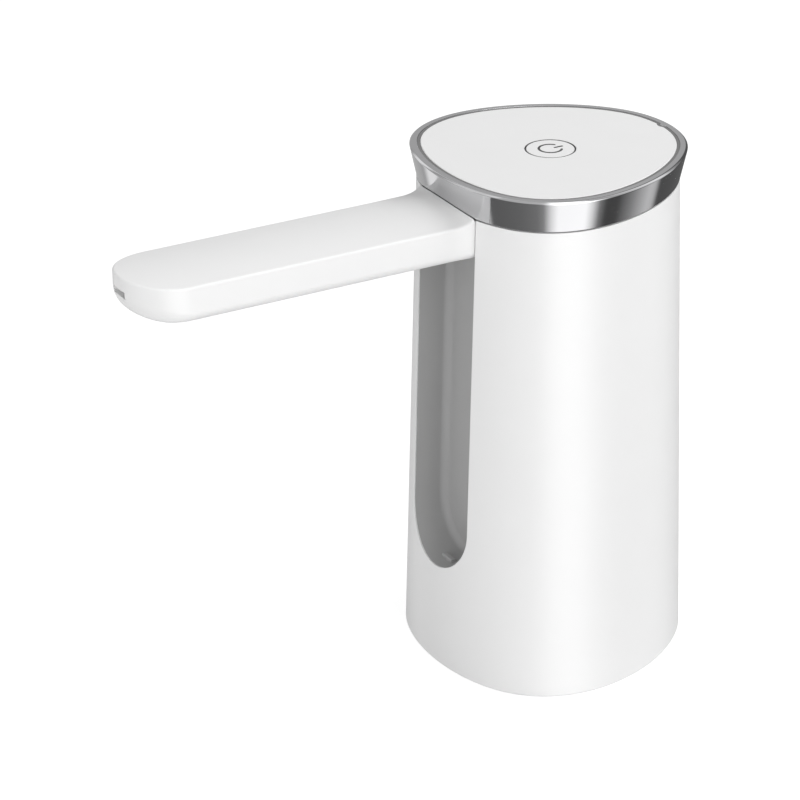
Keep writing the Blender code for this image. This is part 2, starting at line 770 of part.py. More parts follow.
def arm_form():
    """The arm without its hinge barrel: a crowned top, straight sides and an underside that bows in."""
    mesh = bmesh.new()
    rows = []
    for step in range(BOW_STEPS + 1):
        z_share = step / BOW_STEPS
        depth_share = 1 - math.sqrt(1 - (1 - z_share) ** 2)
        ring = arm_ring(SIDE_BOW_DEPTH * depth_share, TIP_BOW_DEPTH * depth_share, z=0)
        row = []
        for x, y, _ in ring:
            tip_share = max(0.0, (ARM_TIP_CENTRE_Y - y) / ARM_TIP_LENGTH)
            height = SIDE_BOW_HEIGHT + (TIP_BOW_HEIGHT - SIDE_BOW_HEIGHT) * min(1.0, tip_share)
            row.append((x, y, arm_bottom() + height * z_share))
        rows.append(row)
    rows.append(arm_ring(0, 0, drop=ARM_EDGE))
    top = arm_ring(ARM_EDGE, ARM_EDGE, drop=0)
    rows.append(top)
    add_patch(mesh, rows)
    add_cap(mesh, rows[0])
    arm_crown(mesh, top)
    return finish("arm_body", mesh)


def hollow_outline():
    centre_y = HOLLOW_TIP_Y + HOLLOW_HALF_WIDTH
    turns = [math.pi * (1 + i / END_SEGMENTS) for i in range(END_SEGMENTS + 1)]
    arc = [(HOLLOW_HALF_WIDTH * math.cos(t), centre_y + HOLLOW_HALF_WIDTH * math.sin(t)) for t in turns]
    return arc + [(HOLLOW_HALF_WIDTH, KNUCKLE_WALL_Y), (-HOLLOW_HALF_WIDTH, KNUCKLE_WALL_Y)]


def barrel_bore():
    return TEE_RADIUS + TEE_CLEARANCE


def bore_half_length():
    return TEE_HALF_LENGTH + GAP


def stem_slot_half():
    return STEM_RADIUS + TEE_CLEARANCE


def barrel_outline(front, turns_up=1.0):
    """The rounded back of a knuckle in the side view, from the underside up, closed along a line in front."""
    arc = []
    steps = round(SMALL_SEGMENTS / 2 * (1 + turns_up))
    for i in range(steps + 1):
        turn = math.pi / 2 * (i * (1 + turns_up) / steps - 1)
        arc.append((HINGE_Y + BARREL_RADIUS * math.cos(turn), HINGE_Z + BARREL_RADIUS * math.sin(turn)))
    return [(front, arm_bottom())] + arc + [(front, arc[-1][1])]


def hinge_rod(name, radius, half_length, segments=ROUND_SEGMENTS):
    return rod(name, radius, (-half_length, HINGE_Y, HINGE_Z), (half_length, HINGE_Y, HINGE_Z), segments)


def catch_cutters():
    """The slit in the tip that the liner's catch tab enters, and the narrow lead that it comes up by."""
    tip_y = ARM_TIP_CENTRE_Y - ARM_TIP_LENGTH
    front = tip_y - OVERRUN
    top = arm_top() - CATCH_TOP_DROP
    foot = top - CATCH_HEIGHT
    slit = box("slit", (-CATCH_HALF_WIDTH, front, foot), (CATCH_HALF_WIDTH, tip_y + CATCH_DEPTH, top))
    half = CATCH_LEAD_HALF_WIDTH
    lead = box("lead", (-half, front, top - CATCH_LEAD_HEIGHT), (half, tip_y + CATCH_LEAD_DEPTH, foot + GAP))
    return [slit, lead]


def make_arm_body():
    arm = arm_form()
    outline = barrel_outline(HINGE_Y - BASE_THICKNESS)
    join(arm, prism("barrel", outline, -BARREL_HALF_WIDTH, BARREL_HALF_WIDTH, "X"))
    below = arm_bottom() - OVERRUN
    hollow = prism("hollow", hollow_outline(), below, arm_top() - HOLLOW_CEILING_DROP)
    half = bore_half_length()
    behind = HINGE_Y + BARREL_RADIUS + OVERRUN
    lower_room = box("lower_room", (-half, KNUCKLE_WALL_Y - GAP, below), (half, behind, HINGE_Z))
    slot = stem_slot_half()
    stem_room = box("stem_room", (-slot, HINGE_Y, below), (slot, behind, HINGE_Z + slot))
    way = rod(
        "water_way",
        WATER_WAY_RADIUS,
        (TEE_PORT_X, HINGE_Y, way_z()),
        (TEE_PORT_X, KNUCKLE_WALL_Y - OVERRUN, way_z()),
        TINY_SEGMENTS,
    )
    cut(arm, hollow, hinge_rod("bore", barrel_bore(), half), lower_room, stem_room, way, *catch_cutters())
    return arm


def way_z():
    """The water way into the arm lies just above the split of the knuckle."""
    return HINGE_Z + WATER_WAY_RADIUS + GAP / 2


def make_arm_base():
    """Plate that closes the arm from below, with the lower half of its knuckle."""
    inset = GAP
    outline = []
    for x, y in hollow_outline():
        side = 1 if x > 0 else -1
        if y < KNUCKLE_WALL_Y:
            centre_y = max(y, HOLLOW_TIP_Y + HOLLOW_HALF_WIDTH)
            arm = Vector((x, y - centre_y))
            arm.length = HOLLOW_HALF_WIDTH - inset
            outline.append((arm.x, centre_y + arm.y))
        else:
            outline.append((side * (HOLLOW_HALF_WIDTH - inset), KNUCKLE_WALL_Y + BASE_THICKNESS))
    plate = prism("arm_base", outline, arm_bottom(), arm_bottom() + BASE_THICKNESS)
    half = HOLLOW_HALF_WIDTH - inset
    knuckle = prism("knuckle", barrel_outline(KNUCKLE_WALL_Y, turns_up=0.0), -half, half, "X")
    behind = HINGE_Y + BARREL_RADIUS + OVERRUN
    slot = stem_slot_half()
    wide = half + OVERRUN
    above = box("above", (-wide, KNUCKLE_WALL_Y - OVERRUN, HINGE_Z - GAP), (wide, behind, arm_top()))
    sweep_room = box("stem_sweep", (-slot, HINGE_Y - slot, arm_bottom() - OVERRUN), (slot, behind, arm_top()))
    join(plate, knuckle)
    cut(plate, above, hinge_rod("bore", barrel_bore(), wide), sweep_room)
    below = arm_bottom() - OVERRUN
    hole = disc("nozzle_hole", NOZZLE_RADIUS + GAP, below, HINGE_Z, (0, NOZZLE_Y))
    return cut(plate, hole)


def nozzle_bottom():
    return arm_bottom() + NOZZLE_RECESS


def tube_z():
    """The tube lies under the ceiling of the arm's hollow."""
    return arm_top() - HOLLOW_CEILING_DROP - GAP - TUBE_RADIUS


def sweep(name, route, outer, inner, segments):
    """A hollow tube along a route of points, with square ends."""
    points = [Vector(point) for point in route]
    rings = []
    frames = []
    side = None
    for i, point in enumerate(points):
        ahead = (points[min(i + 1, len(points) - 1)] - points[max(i - 1, 0)]).normalized()
        if side is None:
            side = ahead.orthogonal().normalized()
        side = (side - ahead * side.dot(ahead)).normalized()
        frames.append((point, side, ahead.cross(side)))
    for radius, order in ((outer, frames), (inner, frames[::-1])):
        for point, across, up in order:
            ring = []
            for k in range(segments):
                turn = math.tau * k / segments
                ring.append(point + across * radius * math.cos(turn) + up * radius * math.sin(turn))
            rings.append(ring)
    return loft(name, rings, looped=True)


def smooth_route(corners, steps):
    """A smooth curve through the corner points, with its ends kept straight for one step."""
    points = [Vector(corner) for corner in corners]
    ends = [2 * points[0] - points[1]] + points + [2 * points[-1] - points[-2]]
    route = []
    for i in range(1, len(ends) - 2):
        before, start, end, after = ends[i - 1:i + 3]
        for step in range(steps):
            t = step / steps
            pull = (end - before) / 2 * (t - 2 * t ** 2 + t ** 3)
            push = (after - start) / 2 * (t ** 3 - t ** 2)
            ease_share = 3 * t ** 2 - 2 * t ** 3
            route.append(start * (1 - ease_share) + end * ease_share + pull + push)
    route.append(points[-1])
    return route


def make_arm_tube():
    start_y = KNUCKLE_WALL_Y - GAP
    end_y = NOZZLE_Y + NOZZLE_RADIUS + GAP
    corners = [
        (TEE_PORT_X, start_y, tube_z()),
        (TEE_PORT_X, start_y - TUBE_START, tube_z()),
        (TEE_PORT_X / 2, start_y - TUBE_EASE, tube_z()),
        (0, start_y - 2 * TUBE_EASE, tube_z()),
        (0, end_y + TUBE_EASE, tube_z()),
        (0, end_y, tube_z()),
    ]
    return sweep("arm_tube", smooth_route(corners, HOSE_STEPS), TUBE_RADIUS, TUBE_BORE, TINY_SEGMENTS)


def make_outlet_nozzle():
    """Short elbow under the tip. Water enters from behind and leaves straight down."""
    low = nozzle_bottom()
    nozzle = disc("outlet_nozzle", NOZZLE_RADIUS, low, low + NOZZLE_HEIGHT, (0, NOZZLE_Y))
    bore = disc("bore", NOZZLE_BORE, low - OVERRUN, tube_z() + TUBE_BORE, (0, NOZZLE_Y))
    inlet = rod(
        "inlet",
        TUBE_BORE,
        (0, NOZZLE_Y, tube_z()),
        (0, NOZZLE_Y + NOZZLE_RADIUS + OVERRUN, tube_z()),
        TINY_SEGMENTS,
    )
    return cut(nozzle, bore, inlet)


def plate_front_y():
    return channel_back_y(HINGE_Z) + GAP


def plate_back_y():
    return plate_front_y() + HINGE_PLATE_THICKNESS


def make_swivel_tee():
    """Fixed hollow pipe that the arm turns on. Water comes up its nipple and leaves by a port to the arm."""
    tee = hinge_rod("swivel_tee", TEE_RADIUS, TEE_HALF_LENGTH)
    elbow = (0, ELBOW_Y, HINGE_Z)
    nipple_end = (0, ELBOW_Y, HINGE_Z - TEE_NIPPLE_LENGTH)
    join(tee, rod("stem", STEM_RADIUS, (0, HINGE_Y, HINGE_Z), elbow, ROUND_SEGMENTS))
    join(tee, disc("elbow", STEM_RADIUS, HINGE_Z - STEM_RADIUS, HINGE_Z + STEM_RADIUS, elbow[:2]))
    join(tee, rod("nipple", TEE_NIPPLE_RADIUS, elbow, nipple_end, ROUND_SEGMENTS))
    flange_y = plate_back_y() + GAP
    flange = prism(
        "flange",
        rounded_rectangle(TEE_FLANGE_HALF_WIDTH, TEE_FLANGE_HALF_HEIGHT, TEE_BORE, (0, HINGE_Z)),
        flange_y,
        flange_y + TEE_FLANGE_THICKNESS,
        "Y",
    )
    join(tee, flange)
    for centre_x in seal_places():
        outer = TEE_RADIUS + OVERRUN
        inner = TEE_RADIUS - SEAL_GROOVE_DEPTH
        groove = pipe("groove", outer, inner, -SEAL_SECTION - GAP / 2, SEAL_SECTION + GAP / 2)
        groove.data.transform(to_hinge_line(centre_x))
        cut(tee, groove)
    port_end = HINGE_Y - TEE_RADIUS - OVERRUN
    cut(
        tee,
        rod("cross_bore", TEE_BORE, (TEE_PORT_X - TEE_BORE, HINGE_Y, HINGE_Z), (TEE_BORE, HINGE_Y, HINGE_Z)),
        rod("stem_bore", TEE_BORE, (0, HINGE_Y, HINGE_Z), elbow),
        rod("nipple_bore", TEE_BORE, (0, ELBOW_Y, HINGE_Z + TEE_BORE), (0, ELBOW_Y, nipple_end[2] - OVERRUN)),
        rod("port", TEE_BORE, (TEE_PORT_X, HINGE_Y, HINGE_Z), (TEE_PORT_X, port_end, HINGE_Z)),
    )
    for x in (-HINGE_SCREW_X, HINGE_SCREW_X):
        cut(tee, hinge_screw_hole(x, plate_back_y()))
    return tee


def hinge_screw_hole(x, start_y):
    return rod("hinge_screw_hole", SCREW_RADIUS + GAP, (x, start_y, HINGE_Z), (x, 0, HINGE_Z), TINY_SEGMENTS)


def screw_hole(low, high, place):
    return disc("screw_hole", SCREW_RADIUS + GAP, low, high, place, TINY_SEGMENTS)


def seal_places():
    return (TEE_PORT_X - SEAL_SPACING, TEE_PORT_X + SEAL_SPACING)


def to_hinge_line(x):
    """Carries a shape turned about Z at the origin onto the hinge line."""
    return Matrix.Translation((x, HINGE_Y, HINGE_Z)) @ Matrix.Rotation(math.pi / 2, 4, "Y")


def make_swivel_seals():
    """Two rubber rings in the tee's grooves, one on each side of its port."""
    seals = []
    middle = TEE_RADIUS + TEE_CLEARANCE / 2 - SEAL_SECTION
    for number, centre_x in enumerate(seal_places(), 1):
        turns = [math.tau * i / SEAL_SIDES for i in range(SEAL_SIDES)]
        profile = [(middle + SEAL_SECTION * math.cos(t), SEAL_SECTION * math.sin(t)) for t in turns]
        seal = turned(f"swivel_seal_{number}", profile, segments=END_SEGMENTS)
        seal.data.transform(to_hinge_line(centre_x))
        seals.append(seal)
    return seals


def make_screw(name, seat, direction, length):
    """A pan head screw whose head rests on the seat point and whose shaft runs along a direction."""
    profile = [
        (0, -SCREW_HEAD_HEIGHT + SCREW_DRIVE_DEPTH),
        (SCREW_DRIVE_RADIUS, -SCREW_HEAD_HEIGHT + SCREW_DRIVE_DEPTH),
        (SCREW_DRIVE_RADIUS, -SCREW_HEAD_HEIGHT),
        (SCREW_HEAD_RADIUS - SCREW_DRIVE_DEPTH / 2, -SCREW_HEAD_HEIGHT),
        (SCREW_HEAD_RADIUS, 0),
        (SCREW_RADIUS, 0),
        (0, length),
    ]
    screw = turned(name, profile, segments=TINY_SEGMENTS)
    turn = Vector(direction).to_track_quat("Z", "Y").to_matrix().to_4x4()
    screw.data.transform(Matrix.Translation(seat) @ turn)
    return screw


def make_screws(kind, seats, direction, length):
    return [make_screw(f"{kind}_{number}", seat, direction, length) for number, seat in enumerate(seats, 1)]


def make_hinge_screws():
    seat_y = plate_back_y() + TEE_FLANGE_THICKNESS + 2 * GAP
    length = TEE_FLANGE_THICKNESS + HINGE_PLATE_THICKNESS
    seats = [(x, seat_y, HINGE_Z) for x in (-HINGE_SCREW_X, HINGE_SCREW_X)]
    return make_screws("hinge_screw", seats, (0, -1, 0), length)


def socket_flange_top():
    return SOCKET_FLANGE_BOTTOM + SOCKET_FLANGE_THICKNESS


def socket_ceiling_top():
    return SOCKET_CEILING + SOCKET_CEILING_THICKNESS


def around(place, count, first=0.0, centre=(0, 0)):
    """Points spread evenly on a circle."""
    turns = [first + math.tau * i / count for i in range(count)]
    return [(centre[0] + place * math.cos(t), centre[1] + place * math.sin(t)) for t in turns]


def socket_screw_places():
    return around(SOCKET_SCREW_PLACE, 3, math.radians(20))


def make_neck_socket():
    """Collar that slides over the neck of the bottle, with a flange that carries the shell."""
    flange_radius = BODY_RADIUS - SHELL_WALL - SOCKET_FLANGE_CLEARANCE
    outer = SOCKET_BORE + SOCKET_WALL
    flange = [plan_ring(flange_radius, z) for z in (SOCKET_FLANGE_BOTTOM, socket_flange_top())]
    socket = loft("neck_socket", flange)
    tube_foot = SOCKET_FLANGE_BOTTOM + SOCKET_FLANGE_THICKNESS / 2
    join(socket, disc("tube", outer, tube_foot, socket_ceiling_top(), segments=PLAN_SEGMENTS))
    bore = [
        (0, SOCKET_FLANGE_BOTTOM - OVERRUN),
        (SOCKET_BORE + SOCKET_LEAD + OVERRUN, SOCKET_FLANGE_BOTTOM - OVERRUN),
        (SOCKET_BORE, SOCKET_FLANGE_BOTTOM + SOCKET_LEAD),
        (SOCKET_BORE, SOCKET_CEILING),
        (0, SOCKET_CEILING),
    ]
    cut(socket, turned("bore", bore, segments=PLAN_SEGMENTS))
    low = SOCKET_CEILING - OVERRUN
    high = socket_ceiling_top() + OVERRUN
    cut(socket, disc("barb_hole", BARB_RADIUS + GAP, low, high))
    for place in socket_screw_places():
        cut(socket, screw_hole(low, high, place))
    for place in around(VENT_PLACE, 2, math.pi / 2):
        cut(socket, disc("vent", VENT_RADIUS, low, high, place, TINY_SEGMENTS))
    return socket


def make_socket_screws():
    seat_z = SOCKET_CEILING - GAP
    length = SOCKET_CEILING_THICKNESS + CHASSIS_FLOOR_THICKNESS + GAP
    return make_screws("socket_screw", [(x, y, seat_z) for x, y in socket_screw_places()], (0, 0, 1), length)


def make_neck_gasket():
    """Rubber ring that the rim of the bottle's neck stops against."""
    high = SOCKET_CEILING - GAP
    low = high - GASKET_THICKNESS
    return pipe("neck_gasket", SOCKET_BORE - GAP, GASKET_INNER, low, high, segments=LARGE_SEGMENTS)


def make_inlet_barb():
    """Hose barb for the intake, with a flange under the socket's ceiling and a nipple above it."""
    flange_top_z = SOCKET_CEILING - GAP
    profile = [(BARB_BORE, BARB_BOTTOM)]
    z = BARB_BOTTOM
    for _ in range(BARB_TEETH):
        profile.append((BARB_RADIUS, z))
        profile.append((BARB_RADIUS + BARB_TOOTH, z + BARB_PITCH - BARB_TOOTH))
        z += BARB_PITCH
    profile += [
        (BARB_RADIUS, z),
        (BARB_RADIUS, flange_top_z - BARB_FLANGE_THICKNESS),
        (BARB_FLANGE_RADIUS, flange_top_z - BARB_FLANGE_THICKNESS),
        (BARB_FLANGE_RADIUS, flange_top_z),
        (BARB_RADIUS, flange_top_z),
        (BARB_RADIUS, chassis_floor_bottom() - GAP),
        (BARB_NIPPLE_RADIUS, chassis_floor_bottom()),
        (BARB_NIPPLE_RADIUS, BARB_NIPPLE_TOP),
        (BARB_BORE, BARB_NIPPLE_TOP),
    ]
    return turned("inlet_barb", profile)


def make_inlet_hose():
    """Short hose that joins the barb's nipple to the port under the pump head."""
    inner = BARB_NIPPLE_RADIUS + GAP
    return pipe("inlet_hose", inner + HOSE_WALL, inner, INLET_HOSE_BOTTOM, PUMP_FOOT - GAP)


def chassis_floor_bottom():
    return socket_ceiling_top() + GAP


def chassis_floor_top():
    return chassis_floor_bottom() + CHASSIS_FLOOR_THICKNESS


def post_places():
    return [
        (FRONT_POST_X, FRONT_POST_Y),
        (-FRONT_POST_X, FRONT_POST_Y),
        (REAR_POST_X, REAR_POST_Y),
        (-REAR_POST_X, REAR_POST_Y),
    ]


def make_chassis():
    """Inner frame: floor, four posts, plate behind the hinge, cradle of the cell and pedestal of the pump."""
    low = chassis_floor_bottom()
    high = chassis_floor_top()
    plug = SHELL_WALL + CHASSIS_CLEARANCE
    chassis = loft("chassis", [plan_ring(body_radius(z) - plug, z) for z in (low, high)])
    for x, y in post_places():
        corner = (x - POST_HALF_WIDTH, y - POST_HALF_WIDTH, low + CHASSIS_FLOOR_THICKNESS / 2)
        join(chassis, box("post", corner, (x + POST_HALF_WIDTH, y + POST_HALF_WIDTH, POST_TOP)))
    plate_low = (-FRONT_POST_X, plate_front_y(), HINGE_PLATE_BOTTOM)
    plate_high = (FRONT_POST_X, plate_back_y(), arm_top())
    join(chassis, box("hinge_plate", plate_low, plate_high))
    under = high - CHASSIS_FLOOR_THICKNESS / 2
    cell = (CELL_X, CELL_Y)
    pump = (PUMP_X, PUMP_Y)
    cradle_inner = CELL_RADIUS + GAP
    join(chassis, pipe("cradle", cradle_inner + CRADLE_WALL, cradle_inner, under, CRADLE_TOP, cell))
    pedestal_top = PUMP_FOOT - GAP
    pedestal_bore = PUMP_RADIUS - PEDESTAL_WALL
    pedestal = pipe("pedestal", PUMP_RADIUS, pedestal_bore, under, pedestal_top, pump, LARGE_SEGMENTS)
    cut(pedestal, disc("cell_room", cradle_inner, low, PUMP_FOOT, cell, LARGE_SEGMENTS))
    join(chassis, pedestal)
    hose_radius = BARB_NIPPLE_RADIUS + GAP + HOSE_WALL + GAP
    front = front_y(BODY_RADIUS)
    half = CHASSIS_FRONT_HALF_WIDTH
    tools = [
        disc("hose_room", hose_radius, high - GAP, PUMP_FOOT + OVERRUN),
        disc("barb_hole", BARB_RADIUS + GAP, low - OVERRUN, high + OVERRUN),
        disc("pump_room", PUMP_RADIUS + GAP, PUMP_FOOT - GAP / 2, CRADLE_TOP + OVERRUN, pump, LARGE_SEGMENTS),
        disc("outlet_room", OUTLET_BLOCK_RADIUS + GAP, PUMP_FOOT - GAP / 2, CRADLE_TOP, (PUMP_X, OUTLET_Y)),
        box("channel_room", (-half, front, low - OVERRUN), (half, CHASSIS_FRONT_Y, high + OVERRUN)),
        box("stem_slot", (-STEM_RADIUS - GAP, HINGE_Y, HINGE_Z), (STEM_RADIUS + GAP, 0, arm_top() + OVERRUN)),
        rod("stem_hole", STEM_RADIUS + GAP, (0, HINGE_Y, HINGE_Z), (0, 0, HINGE_Z)),
    ]
    for x in (-HINGE_SCREW_X, HINGE_SCREW_X):
        tools.append(hinge_screw_hole(x, HINGE_Y))
    for place in socket_screw_places():
        tools.append(screw_hole(low - OVERRUN, high + OVERRUN, place))
    for place in post_places():
        tools.append(screw_hole(POST_TOP - 2 * deck_screw_length(), POST_TOP + OVERRUN, place))
    return cut(chassis, *tools)


def cell_bottom():
    return chassis_floor_top() + TAB_STRIP_THICKNESS + 2 * GAP


def make_battery_cell():
    top = cell_bottom() + CELL_LENGTH
    shoulder = top - CELL_CROWN_HEIGHT
    profile = [
        (0, cell_bottom()),
        (CELL_RADIUS - CELL_EDGE, cell_bottom()),
        (CELL_RADIUS, cell_bottom() + CELL_EDGE),
        (CELL_RADIUS, shoulder - CELL_EDGE),
        (CELL_RADIUS - CELL_EDGE, shoulder),
        (CELL_CROWN_RADIUS, shoulder),
        (CELL_CROWN_RADIUS, top),
        (0, top),
    ]
    return turned("battery_cell", profile, (CELL_X, CELL_Y))


def make_battery_tabs():
    """Nickel strips welded to the two ends of the cell, each with a tail turned up for its lead."""
    tabs = []
    top = cell_bottom() + CELL_LENGTH
    for name, low in (("battery_tab_bottom", chassis_floor_top() + GAP), ("battery_tab_top", top + GAP)):
        start = (CELL_X - TAB_STRIP_HALF_WIDTH, CELL_Y - TAB_STRIP_LENGTH, low)
        end = (CELL_X + TAB_STRIP_HALF_WIDTH, CELL_Y + TAB_STRIP_LENGTH, low + TAB_STRIP_THICKNESS)
        tabs.append(box(name, start, end))
    tail_start = (CELL_X - TAB_STRIP_HALF_WIDTH, CELL_Y - TAB_STRIP_LENGTH, top + GAP)
    tail_end_y = CELL_Y - TAB_STRIP_LENGTH + TAB_STRIP_THICKNESS
    tail = box("tail", tail_start, (CELL_X + TAB_STRIP_HALF_WIDTH, tail_end_y, top + TAB_STRIP_TAIL))
    join(tabs[1], tail)
    return tabs


def head_top():
    return PUMP_FOOT + HEAD_HEIGHT


def plate_bottom():
    return head_top() + GAP


def plate_top():
    return plate_bottom() + VALVE_PLATE_THICKNESS


def cup_turns():
    return [math.radians(60), math.radians(180), math.radians(300)]


def cup_places():
    return [(PUMP_X + CUP_PLACE * math.cos(t), PUMP_Y + CUP_PLACE * math.sin(t)) for t in cup_turns()]


def pump_screw_places():
    return around(PUMP_SCREW_PLACE, 3, 0.0, (PUMP_X, PUMP_Y))


def make_pump_head():
    """Bottom of the pump, with an inlet port underneath, an outlet nipple in front and two pockets on top."""
    centre = (PUMP_X, PUMP_Y)
    head = disc("pump_head", PUMP_RADIUS, PUMP_FOOT, head_top(), centre, LARGE_SEGMENTS)
    block = box(
        "outlet_block",
        (PUMP_X - OUTLET_BLOCK_RADIUS, OUTLET_Y, PUMP_FOOT),
        (PUMP_X + OUTLET_BLOCK_RADIUS, PUMP_Y, head_top() - HEAD_POCKET_DEPTH),
    )
    pocket = head_top() - HEAD_POCKET_DEPTH
    outlet = (PUMP_X, OUTLET_Y)
    block_end = disc("block_end", OUTLET_BLOCK_RADIUS, PUMP_FOOT, pocket, outlet)
    nipple_top = head_top() + OUTLET_NIPPLE_LENGTH
    nipple = disc("nipple", OUTLET_NIPPLE_RADIUS, PUMP_FOOT + OVERRUN, nipple_top, outlet)
    join(head, block, block_end, nipple)
    port_end = PUMP_FOOT - HEAD_PORT_LENGTH
    join(head, disc("inlet_port", HEAD_PORT_RADIUS, port_end, PUMP_FOOT + OVERRUN))
    above = head_top() + OVERRUN
    passage_z = PUMP_FOOT + HEAD_HEIGHT / 2
    cut(
        head,
        disc("centre_pocket", HEAD_CENTRE_RADIUS, pocket, above, centre),
        pipe("ring_pocket", HEAD_RING_OUTER, HEAD_RING_INNER, pocket, above, centre, LARGE_SEGMENTS),
        disc("inlet_bore", HEAD_PORT_BORE, port_end - OVERRUN, pocket + OVERRUN),
        disc("centre_bore", OUTLET_BORE, passage_z, pocket + OVERRUN, centre, TINY_SEGMENTS),
        rod("passage", OUTLET_BORE, (*centre, passage_z), (*outlet, passage_z), TINY_SEGMENTS),
        disc("outlet_bore", OUTLET_BORE, passage_z, nipple_top + OVERRUN, outlet, TINY_SEGMENTS),
    )
    counterbore = SCREW_HEAD_HEIGHT + 2 * GAP
    for place in pump_screw_places():
        cut(head, screw_hole(PUMP_FOOT - OVERRUN, above, place))
        head_room = disc(
            "counterbore",
            SCREW_HEAD_RADIUS + GAP,
            PUMP_FOOT - OVERRUN,
            PUMP_FOOT + counterbore,
            place,
            SMALL_SEGMENTS,
        )
        cut(head, head_room)
    return head


def make_pump_screws():
    seat_z = PUMP_FOOT + SCREW_HEAD_HEIGHT + GAP
    seats = [(x, y, seat_z) for x, y in pump_screw_places()]
    return make_screws("pump_screw", seats, (0, 0, 1), PUMP_SCREW_LENGTH)


def make_valve_plate():
    centre = (PUMP_X, PUMP_Y)
    plate = disc("valve_plate", PUMP_RADIUS, plate_bottom(), plate_top(), centre, LARGE_SEGMENTS)
    low = plate_bottom() - OVERRUN
    high = plate_top() + OVERRUN
    stem = VALVE_STEM_RADIUS + VALVE_STEM_CLEARANCE
    tools = [disc("outlet_stem", stem, low, high, centre, TINY_SEGMENTS)]
    for place, turn in zip(cup_places(), cup_turns()):
        tools.append(disc("inlet_stem", stem, low, high, place, TINY_SEGMENTS))
        for port in around(VALVE_PORT_PLACE, 2, turn + math.pi / 2, place):
            tools.append(disc("inlet_hole", VALVE_PORT_RADIUS, low, high, port, TINY_SEGMENTS))
        reach = CUP_PLACE / 2 - VALVE_PORT_RADIUS
        outlet = (PUMP_X + reach * math.cos(turn), PUMP_Y + reach * math.sin(turn))
        tools.append(disc("outlet_hole", VALVE_PORT_RADIUS, low, high, outlet, TINY_SEGMENTS))
    for place in pump_screw_places():
        tools.append(disc("screw_hole", SCREW_RADIUS + GAP, low, high, place, TINY_SEGMENTS))
    return cut(plate, *tools)


def make_valves():
    """Rubber umbrella valves: one under the plate for the outlet, and one over it in each cup."""
    valves = []
    under = plate_bottom() - VALVE_STEM_CLEARANCE
    profile = [
        (0, under - VALVE_CAP_THICKNESS),
        (VALVE_CAP_RADIUS + VALVE_STEM_RADIUS, under - VALVE_CAP_THICKNESS / 2),
        (VALVE_CAP_RADIUS + VALVE_STEM_RADIUS, under),
        (VALVE_STEM_RADIUS, under),
        (VALVE_STEM_RADIUS, plate_top() - VALVE_CAP_THICKNESS),
        (0, plate_top() - VALVE_CAP_THICKNESS),
    ]
    valves.append(turned("outlet_valve", profile, (PUMP_X, PUMP_Y), SMALL_SEGMENTS))
    over = plate_top() + VALVE_STEM_CLEARANCE
    profile = [
        (0, plate_bottom() + VALVE_CAP_THICKNESS),
        (VALVE_STEM_RADIUS, plate_bottom() + VALVE_CAP_THICKNESS),
        (VALVE_STEM_RADIUS, over),
        (VALVE_CAP_RADIUS, over),
        (VALVE_CAP_RADIUS, over + VALVE_CAP_THICKNESS / 2),
        (0, over + VALVE_CAP_THICKNESS),
    ]
    for number, place in enumerate(cup_places(), 1):
        valves.append(turned(f"inlet_valve_{number}", profile, place, SMALL_SEGMENTS))
    return valves


def diaphragm_bottom():
    return plate_top() + GAP


def cup_top():
    return diaphragm_bottom() + CUP_HEIGHT


def pivot():
    """Point that the wobble plate rocks about, on the motor's axis."""
    return Vector((PUMP_X, PUMP_Y, cup_top() + CUP_KNOB_HEIGHT + GAP + WOBBLE_THICKNESS / 2))


def wobble_axis():
    return Vector((math.sin(WOBBLE_ANGLE), 0, math.cos(WOBBLE_ANGLE)))


def cup_lift(place):
    """How far the tilted plate raises a cup at rest."""
    return -(place[0] - PUMP_X) * math.tan(WOBBLE_ANGLE)


def make_diaphragm():
    """One rubber sheet with three hollow cups, each at the height that the tilted plate holds it at rest."""
    centre = (PUMP_X, PUMP_Y)
    low = diaphragm_bottom()
    sheet = disc("diaphragm", PUMP_RADIUS, low, low + DIAPHRAGM_THICKNESS, centre, LARGE_SEGMENTS)
    for place in cup_places():
        top = cup_top() + cup_lift(place)
        neck = CUP_RADIUS - CUP_WALL
        profile = [
            (0, low + DIAPHRAGM_THICKNESS / 2),
            (CUP_RADIUS, low + DIAPHRAGM_THICKNESS / 2),
            (CUP_RADIUS, low + CUP_HEIGHT / 2),
            (neck, top),
            (CUP_KNOB_RADIUS, top),
            (CUP_KNOB_RADIUS, top + CUP_KNOB_HEIGHT - 2 * GAP),
            (0, top + CUP_KNOB_HEIGHT - 2 * GAP),
        ]
        join(sheet, turned("cup", profile, place, END_SEGMENTS))
    for place in cup_places():
        top = cup_top() + cup_lift(place) - CUP_WALL
        inner = CUP_RADIUS - CUP_WALL
        profile = [
            (0, low - OVERRUN),
            (inner, low - OVERRUN),
            (inner, low + CUP_HEIGHT / 2 - CUP_WALL / 2),
            (inner - CUP_WALL, top),
            (0, top),
        ]
        cut(sheet, turned("hollow", profile, place, END_SEGMENTS))
    for place in pump_screw_places():
        hole = disc("screw_hole", SCREW_RADIUS + GAP, low - OVERRUN, low + CUP_HEIGHT, place, TINY_SEGMENTS)
        cut(sheet, hole)
    return sheet


def crankcase_bottom():
    return diaphragm_bottom() + DIAPHRAGM_THICKNESS + GAP


def crankcase_top():
    return crankcase_bottom() + CRANKCASE_HEIGHT


